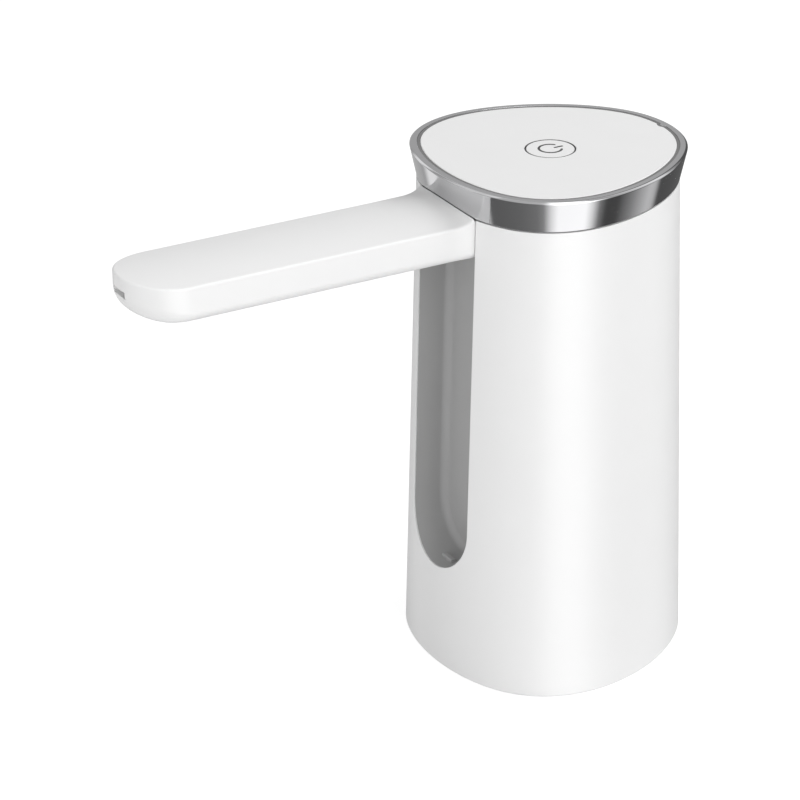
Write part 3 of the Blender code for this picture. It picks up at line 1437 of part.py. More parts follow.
def make_pump_housing():
    centre = (PUMP_X, PUMP_Y)
    low = crankcase_bottom()
    high = crankcase_top()
    inner = PUMP_RADIUS - CRANKCASE_WALL
    profile = [
        (inner, low),
        (PUMP_RADIUS, low),
        (PUMP_RADIUS, high),
        (MOTOR_BOSS_RADIUS + GAP, high),
        (MOTOR_BOSS_RADIUS + GAP, high - CRANKCASE_LID),
        (inner, high - CRANKCASE_LID),
    ]
    housing = turned("pump_housing", profile, centre, LARGE_SEGMENTS)
    boss_top = low + CRANKCASE_BOSS_HEIGHT
    for place in pump_screw_places():
        join(housing, disc("boss", CRANKCASE_BOSS_RADIUS, low, boss_top, place, SMALL_SEGMENTS))
    for place in pump_screw_places():
        cut(housing, screw_hole(low - OVERRUN, boss_top + OVERRUN, place))
    return housing


def make_wobble_plate():
    """Three armed plate on the cups. Its pin leans into the eccentric hub, so it rocks without turning."""
    half = WOBBLE_THICKNESS / 2
    plate = disc("wobble_plate", WOBBLE_HUB_RADIUS, -half, half + GAP)
    for turn in cup_turns():
        x = CUP_PLACE * math.cos(turn)
        y = CUP_PLACE * math.sin(turn)
        join(plate, disc("arm_end", WOBBLE_ARM_RADIUS, -half, half, (x, y), END_SEGMENTS))
        across = Vector((-math.sin(turn), math.cos(turn))) * WOBBLE_ARM_HALF_WIDTH
        end = Vector((x, y))
        outline = [tuple(corner) for corner in (across, -across, end - across, end + across)]
        join(plate, prism("arm", outline, -half, half))
    join(plate, disc("pin", WOBBLE_PIN_RADIUS, 0, half + GAP + WOBBLE_PIN_LENGTH, segments=TINY_SEGMENTS))
    turn = wobble_axis().to_track_quat("Z", "Y").to_matrix().to_4x4()
    plate.data.transform(Matrix.Translation(pivot()) @ turn)
    return plate


def hub_bottom():
    return pivot().z + WOBBLE_THICKNESS / 2 + 2 * GAP + WOBBLE_HUB_RADIUS * math.tan(WOBBLE_ANGLE) + GAP


def make_eccentric_hub():
    """Hub on the motor's shaft, with the leaning hole that carries the wobble plate's pin."""
    centre = (PUMP_X, PUMP_Y)
    hub = disc("eccentric_hub", HUB_RADIUS, hub_bottom(), hub_bottom() + HUB_HEIGHT, centre)
    end = pivot() + wobble_axis() * (WOBBLE_THICKNESS / 2 + GAP + WOBBLE_PIN_LENGTH + GAP)
    hole = rod("pin_hole", WOBBLE_PIN_RADIUS + GAP, pivot(), end)
    shaft_room = disc(
        "shaft_room",
        SHAFT_RADIUS + GAP / 2,
        shaft_bottom() - GAP,
        hub_bottom() + HUB_HEIGHT + OVERRUN,
        centre,
        SMALL_SEGMENTS,
    )
    return cut(hub, hole, shaft_room)


def shaft_bottom():
    return hub_bottom() + HUB_HEIGHT - SHAFT_TAIL


def motor_bottom():
    return crankcase_top() + GAP


def motor_top():
    return motor_bottom() + MOTOR_LENGTH


def make_motor_can():
    centre = (PUMP_X, PUMP_Y)
    low = motor_bottom()
    bush_room = BUSH_RADIUS + GAP
    profile = [
        (bush_room, low - MOTOR_BOSS_HEIGHT),
        (MOTOR_BOSS_RADIUS, low - MOTOR_BOSS_HEIGHT),
        (MOTOR_BOSS_RADIUS, low),
        (MOTOR_RADIUS - MOTOR_WALL, low),
        (MOTOR_RADIUS, low + MOTOR_WALL),
        (MOTOR_RADIUS, motor_top()),
        (MOTOR_RADIUS - MOTOR_WALL, motor_top()),
        (MOTOR_RADIUS - MOTOR_WALL, low + MOTOR_WALL),
        (bush_room, low + MOTOR_WALL),
    ]
    return turned("motor_can", profile, centre, LARGE_SEGMENTS)


def magnet_bottom():
    return motor_bottom() + MOTOR_WALL + (MOTOR_LENGTH - MOTOR_WALL - CAP_SKIRT - MAGNET_LENGTH) / 2


def make_motor_magnets():
    magnets = []
    outer = MOTOR_RADIUS - MOTOR_WALL - GAP
    inner = outer - MAGNET_THICKNESS
    for number, middle in enumerate((0, math.pi), 1):
        turn_shares = [2 * i / SMALL_SEGMENTS - 1 for i in range(SMALL_SEGMENTS + 1)]
        turns = [middle + MAGNET_HALF_ANGLE * share for share in turn_shares]
        outline = [(PUMP_X + outer * math.cos(t), PUMP_Y + outer * math.sin(t)) for t in turns]
        outline += [(PUMP_X + inner * math.cos(t), PUMP_Y + inner * math.sin(t)) for t in turns[::-1]]
        low = magnet_bottom()
        magnets.append(prism(f"motor_magnet_{number}", outline, low, low + MAGNET_LENGTH))
    return magnets


def make_motor_armature():
    """Three pole core with its windings bulging at both ends."""
    centre = (PUMP_X, PUMP_Y)
    middle = magnet_bottom() + MAGNET_LENGTH / 2
    low = middle - ARMATURE_LENGTH / 2
    high = middle + ARMATURE_LENGTH / 2
    core = disc("motor_armature", ARMATURE_RADIUS, low, high, centre, LARGE_SEGMENTS)
    for turn in (math.pi / 3, math.pi, -math.pi / 3):
        along = Vector((math.cos(turn), math.sin(turn)))
        across = Vector((-along.y, along.x)) * ARMATURE_SLOT / 2
        start = Vector(centre) + along * WINDING_RADIUS
        end = Vector(centre) + along * (ARMATURE_RADIUS + OVERRUN)
        outline = [tuple(start - across), tuple(end - across), tuple(end + across), tuple(start + across)]
        cut(core, prism("slot", outline, low - OVERRUN, high + OVERRUN))
    reach = WINDING_LENGTH / 2
    winding = [
        (0, middle - reach),
        (WINDING_RADIUS - CAP_HEIGHT / 2, middle - reach),
        (WINDING_RADIUS, low),
        (WINDING_RADIUS, high),
        (WINDING_RADIUS - CAP_HEIGHT / 2, middle + reach),
        (0, middle + reach),
    ]
    join(core, turned("winding", winding, centre))
    bore = SHAFT_RADIUS + GAP / 2
    return cut(core, disc("bore", bore, low - reach, high + reach, centre, SMALL_SEGMENTS))


def cap_bottom():
    return motor_top() + GAP


def shaft_top():
    return cap_bottom() + CAP_HEIGHT - GAP


def make_motor_shaft():
    return disc("motor_shaft", SHAFT_RADIUS, shaft_bottom(), shaft_top(), (PUMP_X, PUMP_Y), SMALL_SEGMENTS)


def commutator_bottom():
    return magnet_bottom() + MAGNET_LENGTH / 2 + WINDING_LENGTH / 2 + GAP


def make_commutator():
    low = commutator_bottom()
    high = low + COMMUTATOR_LENGTH
    bore = SHAFT_RADIUS + GAP / 2
    return pipe("commutator", COMMUTATOR_RADIUS, bore, low, high, (PUMP_X, PUMP_Y), END_SEGMENTS)


def make_motor_bushes():
    centre = (PUMP_X, PUMP_Y)
    bore = SHAFT_RADIUS + GAP / 2
    front = motor_bottom() - MOTOR_BOSS_HEIGHT
    rear = cap_bottom()
    return [
        pipe("motor_bush_front", BUSH_RADIUS, bore, front, front + BUSH_LENGTH, centre, END_SEGMENTS),
        pipe("motor_bush_rear", BUSH_RADIUS, bore, rear, rear + BUSH_LENGTH, centre, END_SEGMENTS),
    ]


def make_motor_end_cap():
    """Plastic cap that closes the can and holds the rear bush and the brushes."""
    centre = (PUMP_X, PUMP_Y)
    skirt_outer = MOTOR_RADIUS - MOTOR_WALL - GAP
    skirt_inner = skirt_outer - MOTOR_WALL
    bush_room = BUSH_RADIUS + GAP
    low = cap_bottom()
    high = low + CAP_HEIGHT
    profile = [
        (skirt_inner, low - CAP_SKIRT),
        (skirt_outer, low - CAP_SKIRT),
        (skirt_outer, low),
        (MOTOR_RADIUS, low),
        (MOTOR_RADIUS, high - CAP_EDGE),
        (MOTOR_RADIUS - CAP_EDGE, high),
        (bush_room, high),
        (bush_room, low),
        (skirt_inner, low),
    ]
    cap = turned("motor_end_cap", profile, centre, LARGE_SEGMENTS)
    half_x = TERMINAL_THICKNESS / 2 + GAP
    half_y = BRUSH_HALF_WIDTH + GAP
    for side in (-1, 1):
        x = PUMP_X + side * TERMINAL_X
        start = (x - half_x, PUMP_Y - half_y, low - OVERRUN)
        cut(cap, box("terminal_slot", start, (x + half_x, PUMP_Y + half_y, high + OVERRUN)))
    return cap


def make_motor_brushes():
    """Carbon brushes on their spring arms, each with a terminal that stands up through the cap."""
    brushes = []
    middle = commutator_bottom() + COMMUTATOR_LENGTH / 2
    low = middle - BRUSH_HALF_WIDTH
    high = middle + BRUSH_HALF_WIDTH
    for number, side in enumerate((-1, 1), 1):
        near = COMMUTATOR_RADIUS + GAP
        outer = TERMINAL_X + TERMINAL_THICKNESS / 2
        spans = [
            (near, near + BRUSH_LENGTH, BRUSH_HALF_WIDTH, low, high),
            (near + BRUSH_LENGTH / 2, outer, BRUSH_HALF_WIDTH / 2, middle, middle + TERMINAL_THICKNESS),
            (
                outer - TERMINAL_THICKNESS,
                outer,
                BRUSH_HALF_WIDTH,
                middle - TERMINAL_THICKNESS,
                cap_bottom() + CAP_HEIGHT + TERMINAL_RISE,
            ),
        ]
        parts = []
        for start, end, half, bottom, top in spans:
            ends = sorted((PUMP_X + side * start, PUMP_X + side * end))
            parts.append(box("span", (ends[0], PUMP_Y - half, bottom), (ends[1], PUMP_Y + half, top)))
        brush = join(parts[0], *parts[1:])
        brush.name = f"motor_brush_{number}"
        brushes.append(brush)
    return brushes


def make_outlet_hose():
    """Soft hose from the pump's outlet nipple up to the nipple under the swivel tee."""
    bore = OUTLET_NIPPLE_RADIUS + GAP
    start_z = head_top() - HEAD_POCKET_DEPTH + GAP
    end_z = HINGE_Z - TEE_FLANGE_HALF_HEIGHT - GAP
    straight_start = start_z + OUTLET_NIPPLE_LENGTH + HEAD_POCKET_DEPTH
    straight_end = HINGE_Z - TEE_NIPPLE_LENGTH
    corners = [
        (PUMP_X, OUTLET_Y, start_z),
        (PUMP_X, OUTLET_Y, straight_start),
        (PUMP_X, OUTLET_Y, straight_start + 2 * HOSE_EASE),
        (PUMP_X / 2, (OUTLET_Y + ELBOW_Y) / 2, (straight_start + straight_end) / 2),
        (0, ELBOW_Y, straight_end - 2 * HOSE_EASE),
        (0, ELBOW_Y, straight_end),
        (0, ELBOW_Y, end_z),
    ]
    return sweep("outlet_hose", smooth_route(corners, HOSE_STEPS), bore + HOSE_WALL / 2, bore, SMALL_SEGMENTS)


def peg_places():
    return [(PEG_X, PEG_FRONT_Y), (-PEG_X, PEG_FRONT_Y), (-PEG_X, PEG_REAR_Y), (PEG_X, PEG_REAR_Y)]


def board_bottom():
    return BOARD_TOP - BOARD_THICKNESS


def make_control_board():
    low = board_bottom()
    board = disc("control_board", BOARD_RADIUS, low, BOARD_TOP, (0, BOARD_Y), LARGE_SEGMENTS)
    tongue_low = (-BOARD_TONGUE_HALF_WIDTH, BOARD_Y, low)
    join(board, box("tongue", tongue_low, (BOARD_TONGUE_HALF_WIDTH, BOARD_TONGUE_Y, BOARD_TOP)))
    reach = BOARD_RADIUS + OVERRUN
    below = low - OVERRUN
    above = BOARD_TOP + OVERRUN
    cut(board, box("front", (-reach, -reach, below), (reach, BOARD_FRONT_Y, above)))
    room = POST_HALF_WIDTH + GAP
    for x, y in post_places()[2:]:
        side = 1 if x > 0 else -1
        ends = sorted((x - side * room, side * reach))
        cut(board, box("post_room", (ends[0], y - room, below), (ends[1], BOARD_Y + reach, above)))
    for place in peg_places():
        cut(board, disc("peg_hole", PEG_RADIUS + GAP, below, above, place, TINY_SEGMENTS))
    return board


def make_driver_chip():
    low = board_bottom() - GAP - CHIP_HEIGHT
    half = CHIP_HALF_WIDTH
    start = (-CHIP_X - half, BOARD_Y - half, low)
    return box("driver_chip", start, (-CHIP_X + half, BOARD_Y + half, low + CHIP_HEIGHT))


def part_seat():
    """Level at which parts stand on the board."""
    return BOARD_TOP + GAP


def port_z():
    return part_seat() + PORT_HEIGHT / 2


def make_charging_socket():
    """Charging socket with a rounded mouth and a tongue inside, facing the slot in the back of the shell."""
    end_y = back_y(body_radius(port_z()) - SHELL_WALL) - PORT_SETBACK
    outline = rounded_rectangle(PORT_HALF_WIDTH, PORT_HEIGHT / 2, PORT_CORNER, (0, port_z()))
    socket = prism("charging_socket", outline, end_y - PORT_DEPTH, end_y, "Y")
    inner = rounded_rectangle(
        PORT_HALF_WIDTH - PORT_WALL,
        PORT_HEIGHT / 2 - PORT_WALL,
        PORT_CORNER - PORT_WALL,
        (0, port_z()),
    )
    cut(socket, prism("mouth", inner, end_y - PORT_DEPTH + PORT_CORNER, end_y + OVERRUN, "Y"))
    tongue_half = PORT_HALF_WIDTH - PORT_CORNER
    start = (-tongue_half, end_y - PORT_DEPTH + PORT_CORNER / 2, port_z() - PORT_WALL)
    return join(socket, box("tongue", start, (tongue_half, end_y - PORT_CORNER, port_z() + PORT_WALL)))


def switch_top():
    return part_seat() + SWITCH_HEIGHT


def plunger_top():
    return switch_top() + SWITCH_PLUNGER_RISE


def make_tact_switch():
    half = SWITCH_HALF_WIDTH
    start = (-half, BUTTON_Y - half, part_seat())
    switch = box("tact_switch", start, (half, BUTTON_Y + half, switch_top()))
    radius = SWITCH_PLUNGER_RADIUS + SWITCH_PLUNGER_CLEARANCE
    floor_z = switch_top() - SWITCH_WELL_DEPTH
    return cut(switch, disc("well", radius, floor_z, switch_top() + OVERRUN, button_place(), END_SEGMENTS))


def make_switch_plunger():
    low = switch_top() - SWITCH_WELL_DEPTH + BUTTON_TRAVEL + GAP
    return disc("switch_plunger", SWITCH_PLUNGER_RADIUS, low, plunger_top(), button_place(), END_SEGMENTS)


def deck_bottom():
    return POST_TOP + GAP


def deck_top():
    return deck_bottom() + DECK_THICKNESS


def deck_screw_length():
    return DECK_THICKNESS + POST_HALF_WIDTH * 2


def make_top_deck():
    """Plate on the posts, whose rim holds the trim ring down. The board hangs on its pegs' formed ends."""
    low = deck_bottom()
    high = deck_top()
    radius = RING_BORE - GAP
    ledge_bottom = ledge_top() - RING_LEDGE_THICKNESS
    inner = radius - DECK_RIM_WALL
    rings = [
        plan_ring(radius, low),
        plan_ring(radius, ledge_bottom - GAP),
        plan_ring(inner, ledge_bottom - GAP),
        plan_ring(inner, high),
    ]
    deck = loft("top_deck", rings)
    for place in peg_places():
        join(deck, disc("boss", DECK_BOSS_RADIUS, part_seat(), high - GAP, place, SMALL_SEGMENTS))
        peg_low = board_bottom() - GAP - PEG_HEAD_HEIGHT
        join(deck, disc("peg", PEG_RADIUS, peg_low + GAP, high - GAP, place, TINY_SEGMENTS))
        join(deck, disc("peg_head", PEG_HEAD_RADIUS, peg_low, board_bottom() - GAP, place, SMALL_SEGMENTS))
    guide_bore = BUTTON_STEM_RADIUS + GAP
    guide_top = high + DECK_GUIDE_RISE
    join(deck, disc("guide", guide_bore + DECK_GUIDE_WALL, low + GAP, guide_top, button_place()))
    bore_top = guide_top + OVERRUN
    cut(deck, disc("guide_bore", guide_bore, low - OVERRUN, bore_top, button_place(), END_SEGMENTS))
    for place in post_places():
        cut(deck, screw_hole(low - OVERRUN, high + OVERRUN, place))
    return deck


def make_deck_screws():
    seats = [(x, y, deck_top() + GAP) for x, y in post_places()]
    return make_screws("deck_screw", seats, (0, 0, -1), deck_screw_length())


def material(name, colour, roughness, metallic=0.0):
    made = bpy.data.materials.new(name)
    made.use_nodes = True
    shader = made.node_tree.nodes["Principled BSDF"]
    shader.inputs["Base Color"].default_value = (*colour, 1.0)
    shader.inputs["Roughness"].default_value = roughness
    shader.inputs["Metallic"].default_value = metallic
    return made


def dress(pieces, finish_material):
    """Gives pieces their material and shades their round faces smooth."""
    for piece in pieces:
        piece.data.materials.clear()
        piece.data.materials.append(finish_material)
        piece.data.shade_smooth()
        piece.data.set_sharp_from_angle(angle=math.radians(35))


def carry(name, place, pieces, turn=None):
    """Puts pieces under an empty on their joint's axis, where they lie."""
    empty = bpy.data.objects.new(name, None)
    bpy.context.scene.collection.objects.link(empty)
    empty.matrix_world = Matrix.Translation(place) @ (turn or Matrix.Identity(4))
    for piece in pieces:
        piece.parent = empty
        piece.matrix_parent_inverse = empty.matrix_world.inverted()
    return empty


def clear_scene():
    for old in list(bpy.data.objects):
        bpy.data.objects.remove(old)


def main():
    clear_scene()
    white = material("white_gloss", (0.83, 0.83, 0.83), 0.25)
    grey = material("grey_plastic", (0.42, 0.42, 0.43), 0.45)
    chrome = material("chrome", (0.62, 0.62, 0.63), 0.12, 1.0)
    dark = material("dark_plastic", (0.08, 0.08, 0.09), 0.5)
    frame_plastic = material("frame_plastic", (0.62, 0.62, 0.60), 0.5)
    rubber = material("silicone", (0.72, 0.71, 0.68), 0.7)
    steel = material("steel", (0.55, 0.55, 0.56), 0.3, 1.0)
    copper = material("copper", (0.70, 0.36, 0.20), 0.35, 1.0)
    green = material("board_green", (0.02, 0.16, 0.08), 0.5)
    wrap = material("cell_wrap", (0.05, 0.22, 0.45), 0.4)
    button = make_power_button()
    dress([make_outer_shell(), make_top_panel(), button], white)
    dress([make_groove_liner()], grey)
    dress([make_trim_ring()], chrome)
    arm = [make_arm_body(), make_arm_base()]
    dress(arm, white)
    tube = make_arm_tube()
    nozzle = make_outlet_nozzle()
    dress([tube, *make_swivel_seals(), make_inlet_hose(), make_outlet_hose(), make_neck_gasket()], rubber)
    dress([make_swivel_tee(), make_inlet_barb(), nozzle], dark)
    screws = make_hinge_screws() + make_socket_screws() + make_pump_screws() + make_deck_screws()
    dress(screws, steel)
    dress([make_neck_socket(), make_chassis(), make_top_deck(), make_motor_end_cap()], frame_plastic)
    dress([make_pump_head(), make_valve_plate(), make_pump_housing()], dark)
    dress([*make_valves(), make_diaphragm()], rubber)
    wobble = make_wobble_plate()
    dress([wobble], dark)
    rotor = [make_eccentric_hub(), make_motor_shaft(), make_motor_armature(), make_commutator()]
    dress(rotor[:2], steel)
    dress(rotor[2:], copper)
    dress([make_motor_can(), *make_motor_magnets()], steel)
    dress([*make_motor_bushes(), *make_motor_brushes()], copper)
    dress([make_battery_cell()], wrap)
    dress([*make_battery_tabs(), make_charging_socket()], steel)
    plunger = make_switch_plunger()
    dress([make_tact_switch(), make_driver_chip(), plunger], dark)
    dress([make_control_board()], green)
    carry("spout_axis", (0, HINGE_Y, HINGE_Z), [*arm, tube, nozzle])
    carry("button_axis", (*button_place(), ring_top()), [button])
    carry("plunger_axis", (*button_place(), plunger_top()), [plunger])
    carry("motor_axis", (PUMP_X, PUMP_Y, motor_bottom()), rotor)
    lean = wobble_axis().to_track_quat("Z", "Y").to_matrix().to_4x4()
    carry("wobble_axis", pivot(), [wobble], lean)


main()
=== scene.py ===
"""Looks of the bottled water pump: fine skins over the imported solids, their finishes, and a pale studio."""

import json
import math

import bmesh
import bpy
from mathutils import Matrix, Vector

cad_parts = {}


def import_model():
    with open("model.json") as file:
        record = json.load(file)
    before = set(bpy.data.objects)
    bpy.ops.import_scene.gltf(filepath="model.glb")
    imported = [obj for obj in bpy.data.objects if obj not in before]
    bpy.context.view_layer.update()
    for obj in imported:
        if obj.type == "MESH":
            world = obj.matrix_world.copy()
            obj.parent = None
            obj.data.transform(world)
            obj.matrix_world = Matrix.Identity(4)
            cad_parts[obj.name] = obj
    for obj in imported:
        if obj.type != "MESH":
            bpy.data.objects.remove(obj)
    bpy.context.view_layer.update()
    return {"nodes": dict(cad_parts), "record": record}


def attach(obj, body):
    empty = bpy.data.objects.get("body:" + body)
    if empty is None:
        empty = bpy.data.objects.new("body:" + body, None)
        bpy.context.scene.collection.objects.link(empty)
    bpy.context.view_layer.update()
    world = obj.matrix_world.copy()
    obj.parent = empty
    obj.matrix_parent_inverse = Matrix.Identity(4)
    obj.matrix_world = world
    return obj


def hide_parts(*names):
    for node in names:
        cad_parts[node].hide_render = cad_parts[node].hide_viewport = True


MM = 0.001

# Facet counts of the fine meshes
PLAN_SEGMENTS = 288
ROUND_SEGMENTS = 96
HOLE_SEGMENTS = 32
END_SEGMENTS = 72
CORNER_STEPS = 6
BOW_STEPS = 14
WALL_ROWS = 24

# How far cutters run past a face, the weld distance, the scale that Booleans are solved at,
# the most of a side that a rounded corner takes, and the angle past which an edge is sharp
OVERRUN = 2.0 * MM
WELD = 0.0005 * MM
SOLVER_SCALE = 1000
CORNER_SHARE = 0.45
SMOOTH_ANGLE = math.radians(32)

# Body. Its plan is a circle with lobes: how many there are in a turn, and their height
GAP = 0.3 * MM
BODY_RADIUS = 35.23 * MM
LOBES = ((3, 1.657 * MM), (4, -0.206 * MM), (6, -0.131 * MM))
DRAFT = math.radians(1.5)
SHELL_HEIGHT = 123.45 * MM
SHELL_WALL = 2.0 * MM
FOOT_EDGE = 0.4 * MM
LIP_BOTTOM = 2.9 * MM
LIP_THICKNESS = 1.5 * MM
LIP_DEPTH = 0.8 * MM
RABBET_FACE = 0.35 * MM
RABBET_SEAM = 0.03 * MM

# Groove and its liner
GROOVE_HALF_WIDTH = 13.2 * MM
GROOVE_END_Z = 39.9 * MM
LINER_WALL = 0.9 * MM
LINER_BACK_WALL = 1.2 * MM
LINER_CORNER = 2.0 * MM
LINER_BACK_DEPTH = 19.3 * MM
LINER_BACK_TOP = 111.3 * MM
CATCH_TAB_HALF_WIDTH = 2.2 * MM
CATCH_TAB_HEIGHT = 0.9 * MM
CATCH_TAB_FRONT = 28.6 * MM
CATCH_TAB_DEPTH = 1.4 * MM

# Ring and lid
RING_FOOT = SHELL_HEIGHT + GAP
RING_HEIGHT = 8.12 * MM
RING_TOP = RING_FOOT + RING_HEIGHT
RING_FLARE = 1.68 * MM
RING_BEVEL = 0.45 * MM
RING_FACE = 1.45 * MM
RING_LEDGE_WIDTH = 2.0 * MM
RING_LEDGE_THICKNESS = 1.4 * MM
RING_BORE = 30.3 * MM
TRENCH = 0.8 * MM
KEY_RADIUS = 1.33 * MM
KEY_X = 0.1 * MM
KEY_INSET = 0.58 * MM
PANEL_THICKNESS = 1.57 * MM
PANEL_BOTTOM = RING_TOP - PANEL_THICKNESS
PANEL_EDGE = 0.25 * MM
# Painted shade in the gap round the lid: how far below the top the grey strip sits
TRENCH_SHADE_DEPTH = 0.12 * MM

# Button
BUTTON_Y = 0.4 * MM
BUTTON_RADIUS = 5.93 * MM
BUTTON_CLEARANCE = 0.35 * MM
BUTTON_SINK = 0.03 * MM
BUTTON_EDGE = 0.25 * MM
BUTTON_FLANGE_RADIUS = 7.08 * MM
# Painted shade in the gap round the button: how far below the top the dark ring sits, and its clearance from
# the cap and the hole
BUTTON_SHADE_DEPTH = 0.06 * MM
BUTTON_SHADE_GAP = 0.03 * MM
BUTTON_FLANGE_THICKNESS = 1.1 * MM
BUTTON_STEM_RADIUS = 1.8 * MM
BUTTON_STEM_BOTTOM = 121.1 * MM

# Arm, with the lip at its root, its catch and its hollow
HINGE_Y = -24.7 * MM
HINGE_Z = 118.2 * MM
BARREL_RADIUS = 5.0 * MM
ARM_TOP = HINGE_Z + BARREL_RADIUS
ARM_BOTTOM = HINGE_Z - BARREL_RADIUS
ARM_HALF_WIDTH = 12.56 * MM
ARM_CROWN = 1.1 * MM
ARM_EDGE = 0.5 * MM
CROWN_SHARES = (0.02, 0.1, 0.3)
ARM_TIP_CENTRE_Y = -102.5 * MM
ARM_TIP_LENGTH = 12.93 * MM
ROOT_HALF_WIDTH = 12.9 * MM
BARREL_HALF_WIDTH = 12.8 * MM
ROOT_FLAT_Y = -28.4 * MM
ROOT_EASED_Y = -34.0 * MM
ROOT_ROWS_Y = -44.0 * MM
ROOT_RISE = 2.2 * MM
ROOT_RISE_LENGTH = 14.0 * MM
ROOT_RISE_POWER = 1.25
ROOT_SIDE_RISE = 1.95 * MM
ROOT_SIDE_RISE_LENGTH = 6.5 * MM
ROOT_RISE_ROUND = 1.68 * MM
ROOT_STEP = 0.02 * MM
ROOT_SEAM = 0.18 * MM
SIDE_BOW_DEPTH = 2.1 * MM
SIDE_BOW_HEIGHT = 2.4 * MM
TIP_BOW_DEPTH = 6.5 * MM
TIP_BOW_HEIGHT = 6.3 * MM
CATCH_HALF_WIDTH = 2.9 * MM
CATCH_TOP_DROP = 3.2 * MM
CATCH_DEPTH = 3.0 * MM
CATCH_HEIGHT = 1.8 * MM
CATCH_LEAD_HALF_WIDTH = 2.5 * MM
CATCH_LEAD_DEPTH = 0.45 * MM
CATCH_LEAD_HEIGHT = 5.5 * MM
HOLLOW_HALF_WIDTH = 9.5 * MM
HOLLOW_CEILING_DROP = 2.6 * MM
HOLLOW_TIP_Y = -107.9 * MM
KNUCKLE_WALL_Y = -31.0 * MM
BASE_THICKNESS = 1.5 * MM
KNUCKLE_BORE = 3.3 * MM
KNUCKLE_BORE_HALF_LENGTH = 9.7 * MM
STEM_SLOT_HALF = 3.1 * MM
NOZZLE_RADIUS = 3.6 * MM
NOZZLE_BORE = 2.2 * MM
NOZZLE_Y = -102.6 * MM
NOZZLE_RECESS = 0.2 * MM
NOZZLE_HEIGHT = 7.0 * MM

# Neck socket and what it holds
SOCKET_FLANGE_BOTTOM = 0.8 * MM
SOCKET_FLANGE_TOP = 2.6 * MM
SOCKET_FLANGE_CLEARANCE = 0.35 * MM
SOCKET_BORE = 28.2 * MM
SOCKET_WALL = 1.8 * MM
SOCKET_CEILING = 22.8 * MM
SOCKET_CEILING_TOP = 24.9 * MM
SOCKET_LEAD = 1.2 * MM
SOCKET_EDGE = 0.4 * MM
SOCKET_SCREW_PLACE = 19.0 * MM
SOCKET_SCREW_TURN = math.radians(20)
SOCKET_SCREW_LENGTH = 4.2 * MM
SCREW_RADIUS = 0.9 * MM
SCREW_HEAD_RADIUS = 1.7 * MM
SCREW_HEAD_HEIGHT = 1.2 * MM
SCREW_RECESS_REACH = 1.05 * MM
SCREW_RECESS_HALF_WIDTH = 0.22 * MM
SCREW_RECESS_DEPTH = 0.6 * MM
VENT_RADIUS = 1.2 * MM
VENT_PLACE = 10.0 * MM
GASKET_INNER = 23.5 * MM
GASKET_THICKNESS = 1.8 * MM
BARB_FLANGE_RADIUS = 7.0 * MM
BARB_FLANGE_THICKNESS = 1.6 * MM
BARB_RADIUS = 4.0 * MM
BARB_TOOTH = 0.7 * MM
BARB_PITCH = 4.2 * MM
BARB_TEETH = 3
BARB_BOTTOM = 3.5 * MM
BARB_BORE = 2.6 * MM
BARB_EDGE = 0.15 * MM
BARB_NIPPLE_TOP = 31.5 * MM
BARB_NIPPLE_RADIUS = 3.3 * MM

# Charging socket and its slot in the shell
PORT_Z = 117.6 * MM
PORT_SLOT_HALF_WIDTH = 4.8 * MM
PORT_SLOT_HALF_HEIGHT = 1.9 * MM
PORT_SLOT_CORNER = 1.3 * MM
PORT_HALF_WIDTH = 4.5 * MM
PORT_HALF_HEIGHT = 1.6 * MM
PORT_DEPTH = 9.0 * MM
PORT_WALL = 0.4 * MM
PORT_CORNER = 1.0 * MM
PORT_SETBACK = 0.5 * MM
CONTACT_COUNT = 8
CONTACT_HALF_WIDTH = 0.15 * MM
CONTACT_RISE = 0.03 * MM

# Mark on the button
MARK_RADIUS = 2.8 * MM
MARK_STROKE = 0.6 * MM
MARK_BAR_TOP = 3.6 * MM
MARK_BAR_BOTTOM = 1.0 * MM
MARK_RISE = 0.03 * MM
MARK_OPENING = math.radians(38)
MARK_STEPS = 64

# Camera, from the fit to the photograph
CAMERA_PLACE = Vector((629.384, -392.585, 415.031)) * MM
CAMERA_RIGHT = Vector((0.48949214, 0.87198374, -0.00646601))
CAMERA_UP = Vector((-0.36982273, 0.2143055, 0.90404884))
CAMERA_BACK = Vector((0.78970159, -0.44013352, 0.42738026))
CAMERA_LENS = 146.87
CAMERA_SENSOR = 36.0

# Finishes: the scale of each kind of noise, how far it moves the gloss, and the grain's depth
NOISE_SPAN = (0.3, 0.7)
MOTTLE_SCALE = 90.0
GLOSS_SCALE = 240.0
GLOSS_SPREAD = 0.08
GRAIN_SCALE = 1400.0
GRAIN_DEPTH = 0.02 * MM
BEVEL_SAMPLES = 6

# Studio
FLOOR_RADIUS = 3.0
DOME_RADIUS = 4.5
GRADIENT_START = -90
AMBIENT_LEVEL = 0.48
BACKDROP_WHITE = 1.0
FLOOR_GLOW = 0.86
FLOOR_SHADE_SHARE = 0.25
FLOOR_COLOUR = 0.8
LAMP_TARGET = Vector((0, -20, 70)) * MM

# Lamps: name, azimuth and elevation in degrees, distance, width and height in metres, power in watts,
# and whether gloss sees the lamp
LAMPS = (
    ("key_softbox", 90.0, 28.0, 1.5, 0.8, 1.2, 6.0, True),
    ("front_fill", 28.0, 6.0, 1.5, 1.0, 1.0, 9.0, False),
    ("overhead_softbox", 160.0, 58.0, 1.5, 1.0, 1.0, 10.2, False),
    ("back_softbox", 175.0, 32.0, 1.5, 1.0, 1.0, 4.0, False),
)

# Lit panels on the studio walls: stops of azimuth and share, the level, and the heights between which
# the panel fades in and then out, as shares of the dome's radius
PANELS = (
    (((52, 0.0), (70, 1.0), (98, 1.0), (116, 0.0)), 3.2, (-0.50, -0.44, 0.10, 0.22)),
    (((-62, 0.0), (-52, 1.0), (186, 1.0), (200, 0.0)), 0.45, (0.16, 0.26, 1.5, 2.0)),
)

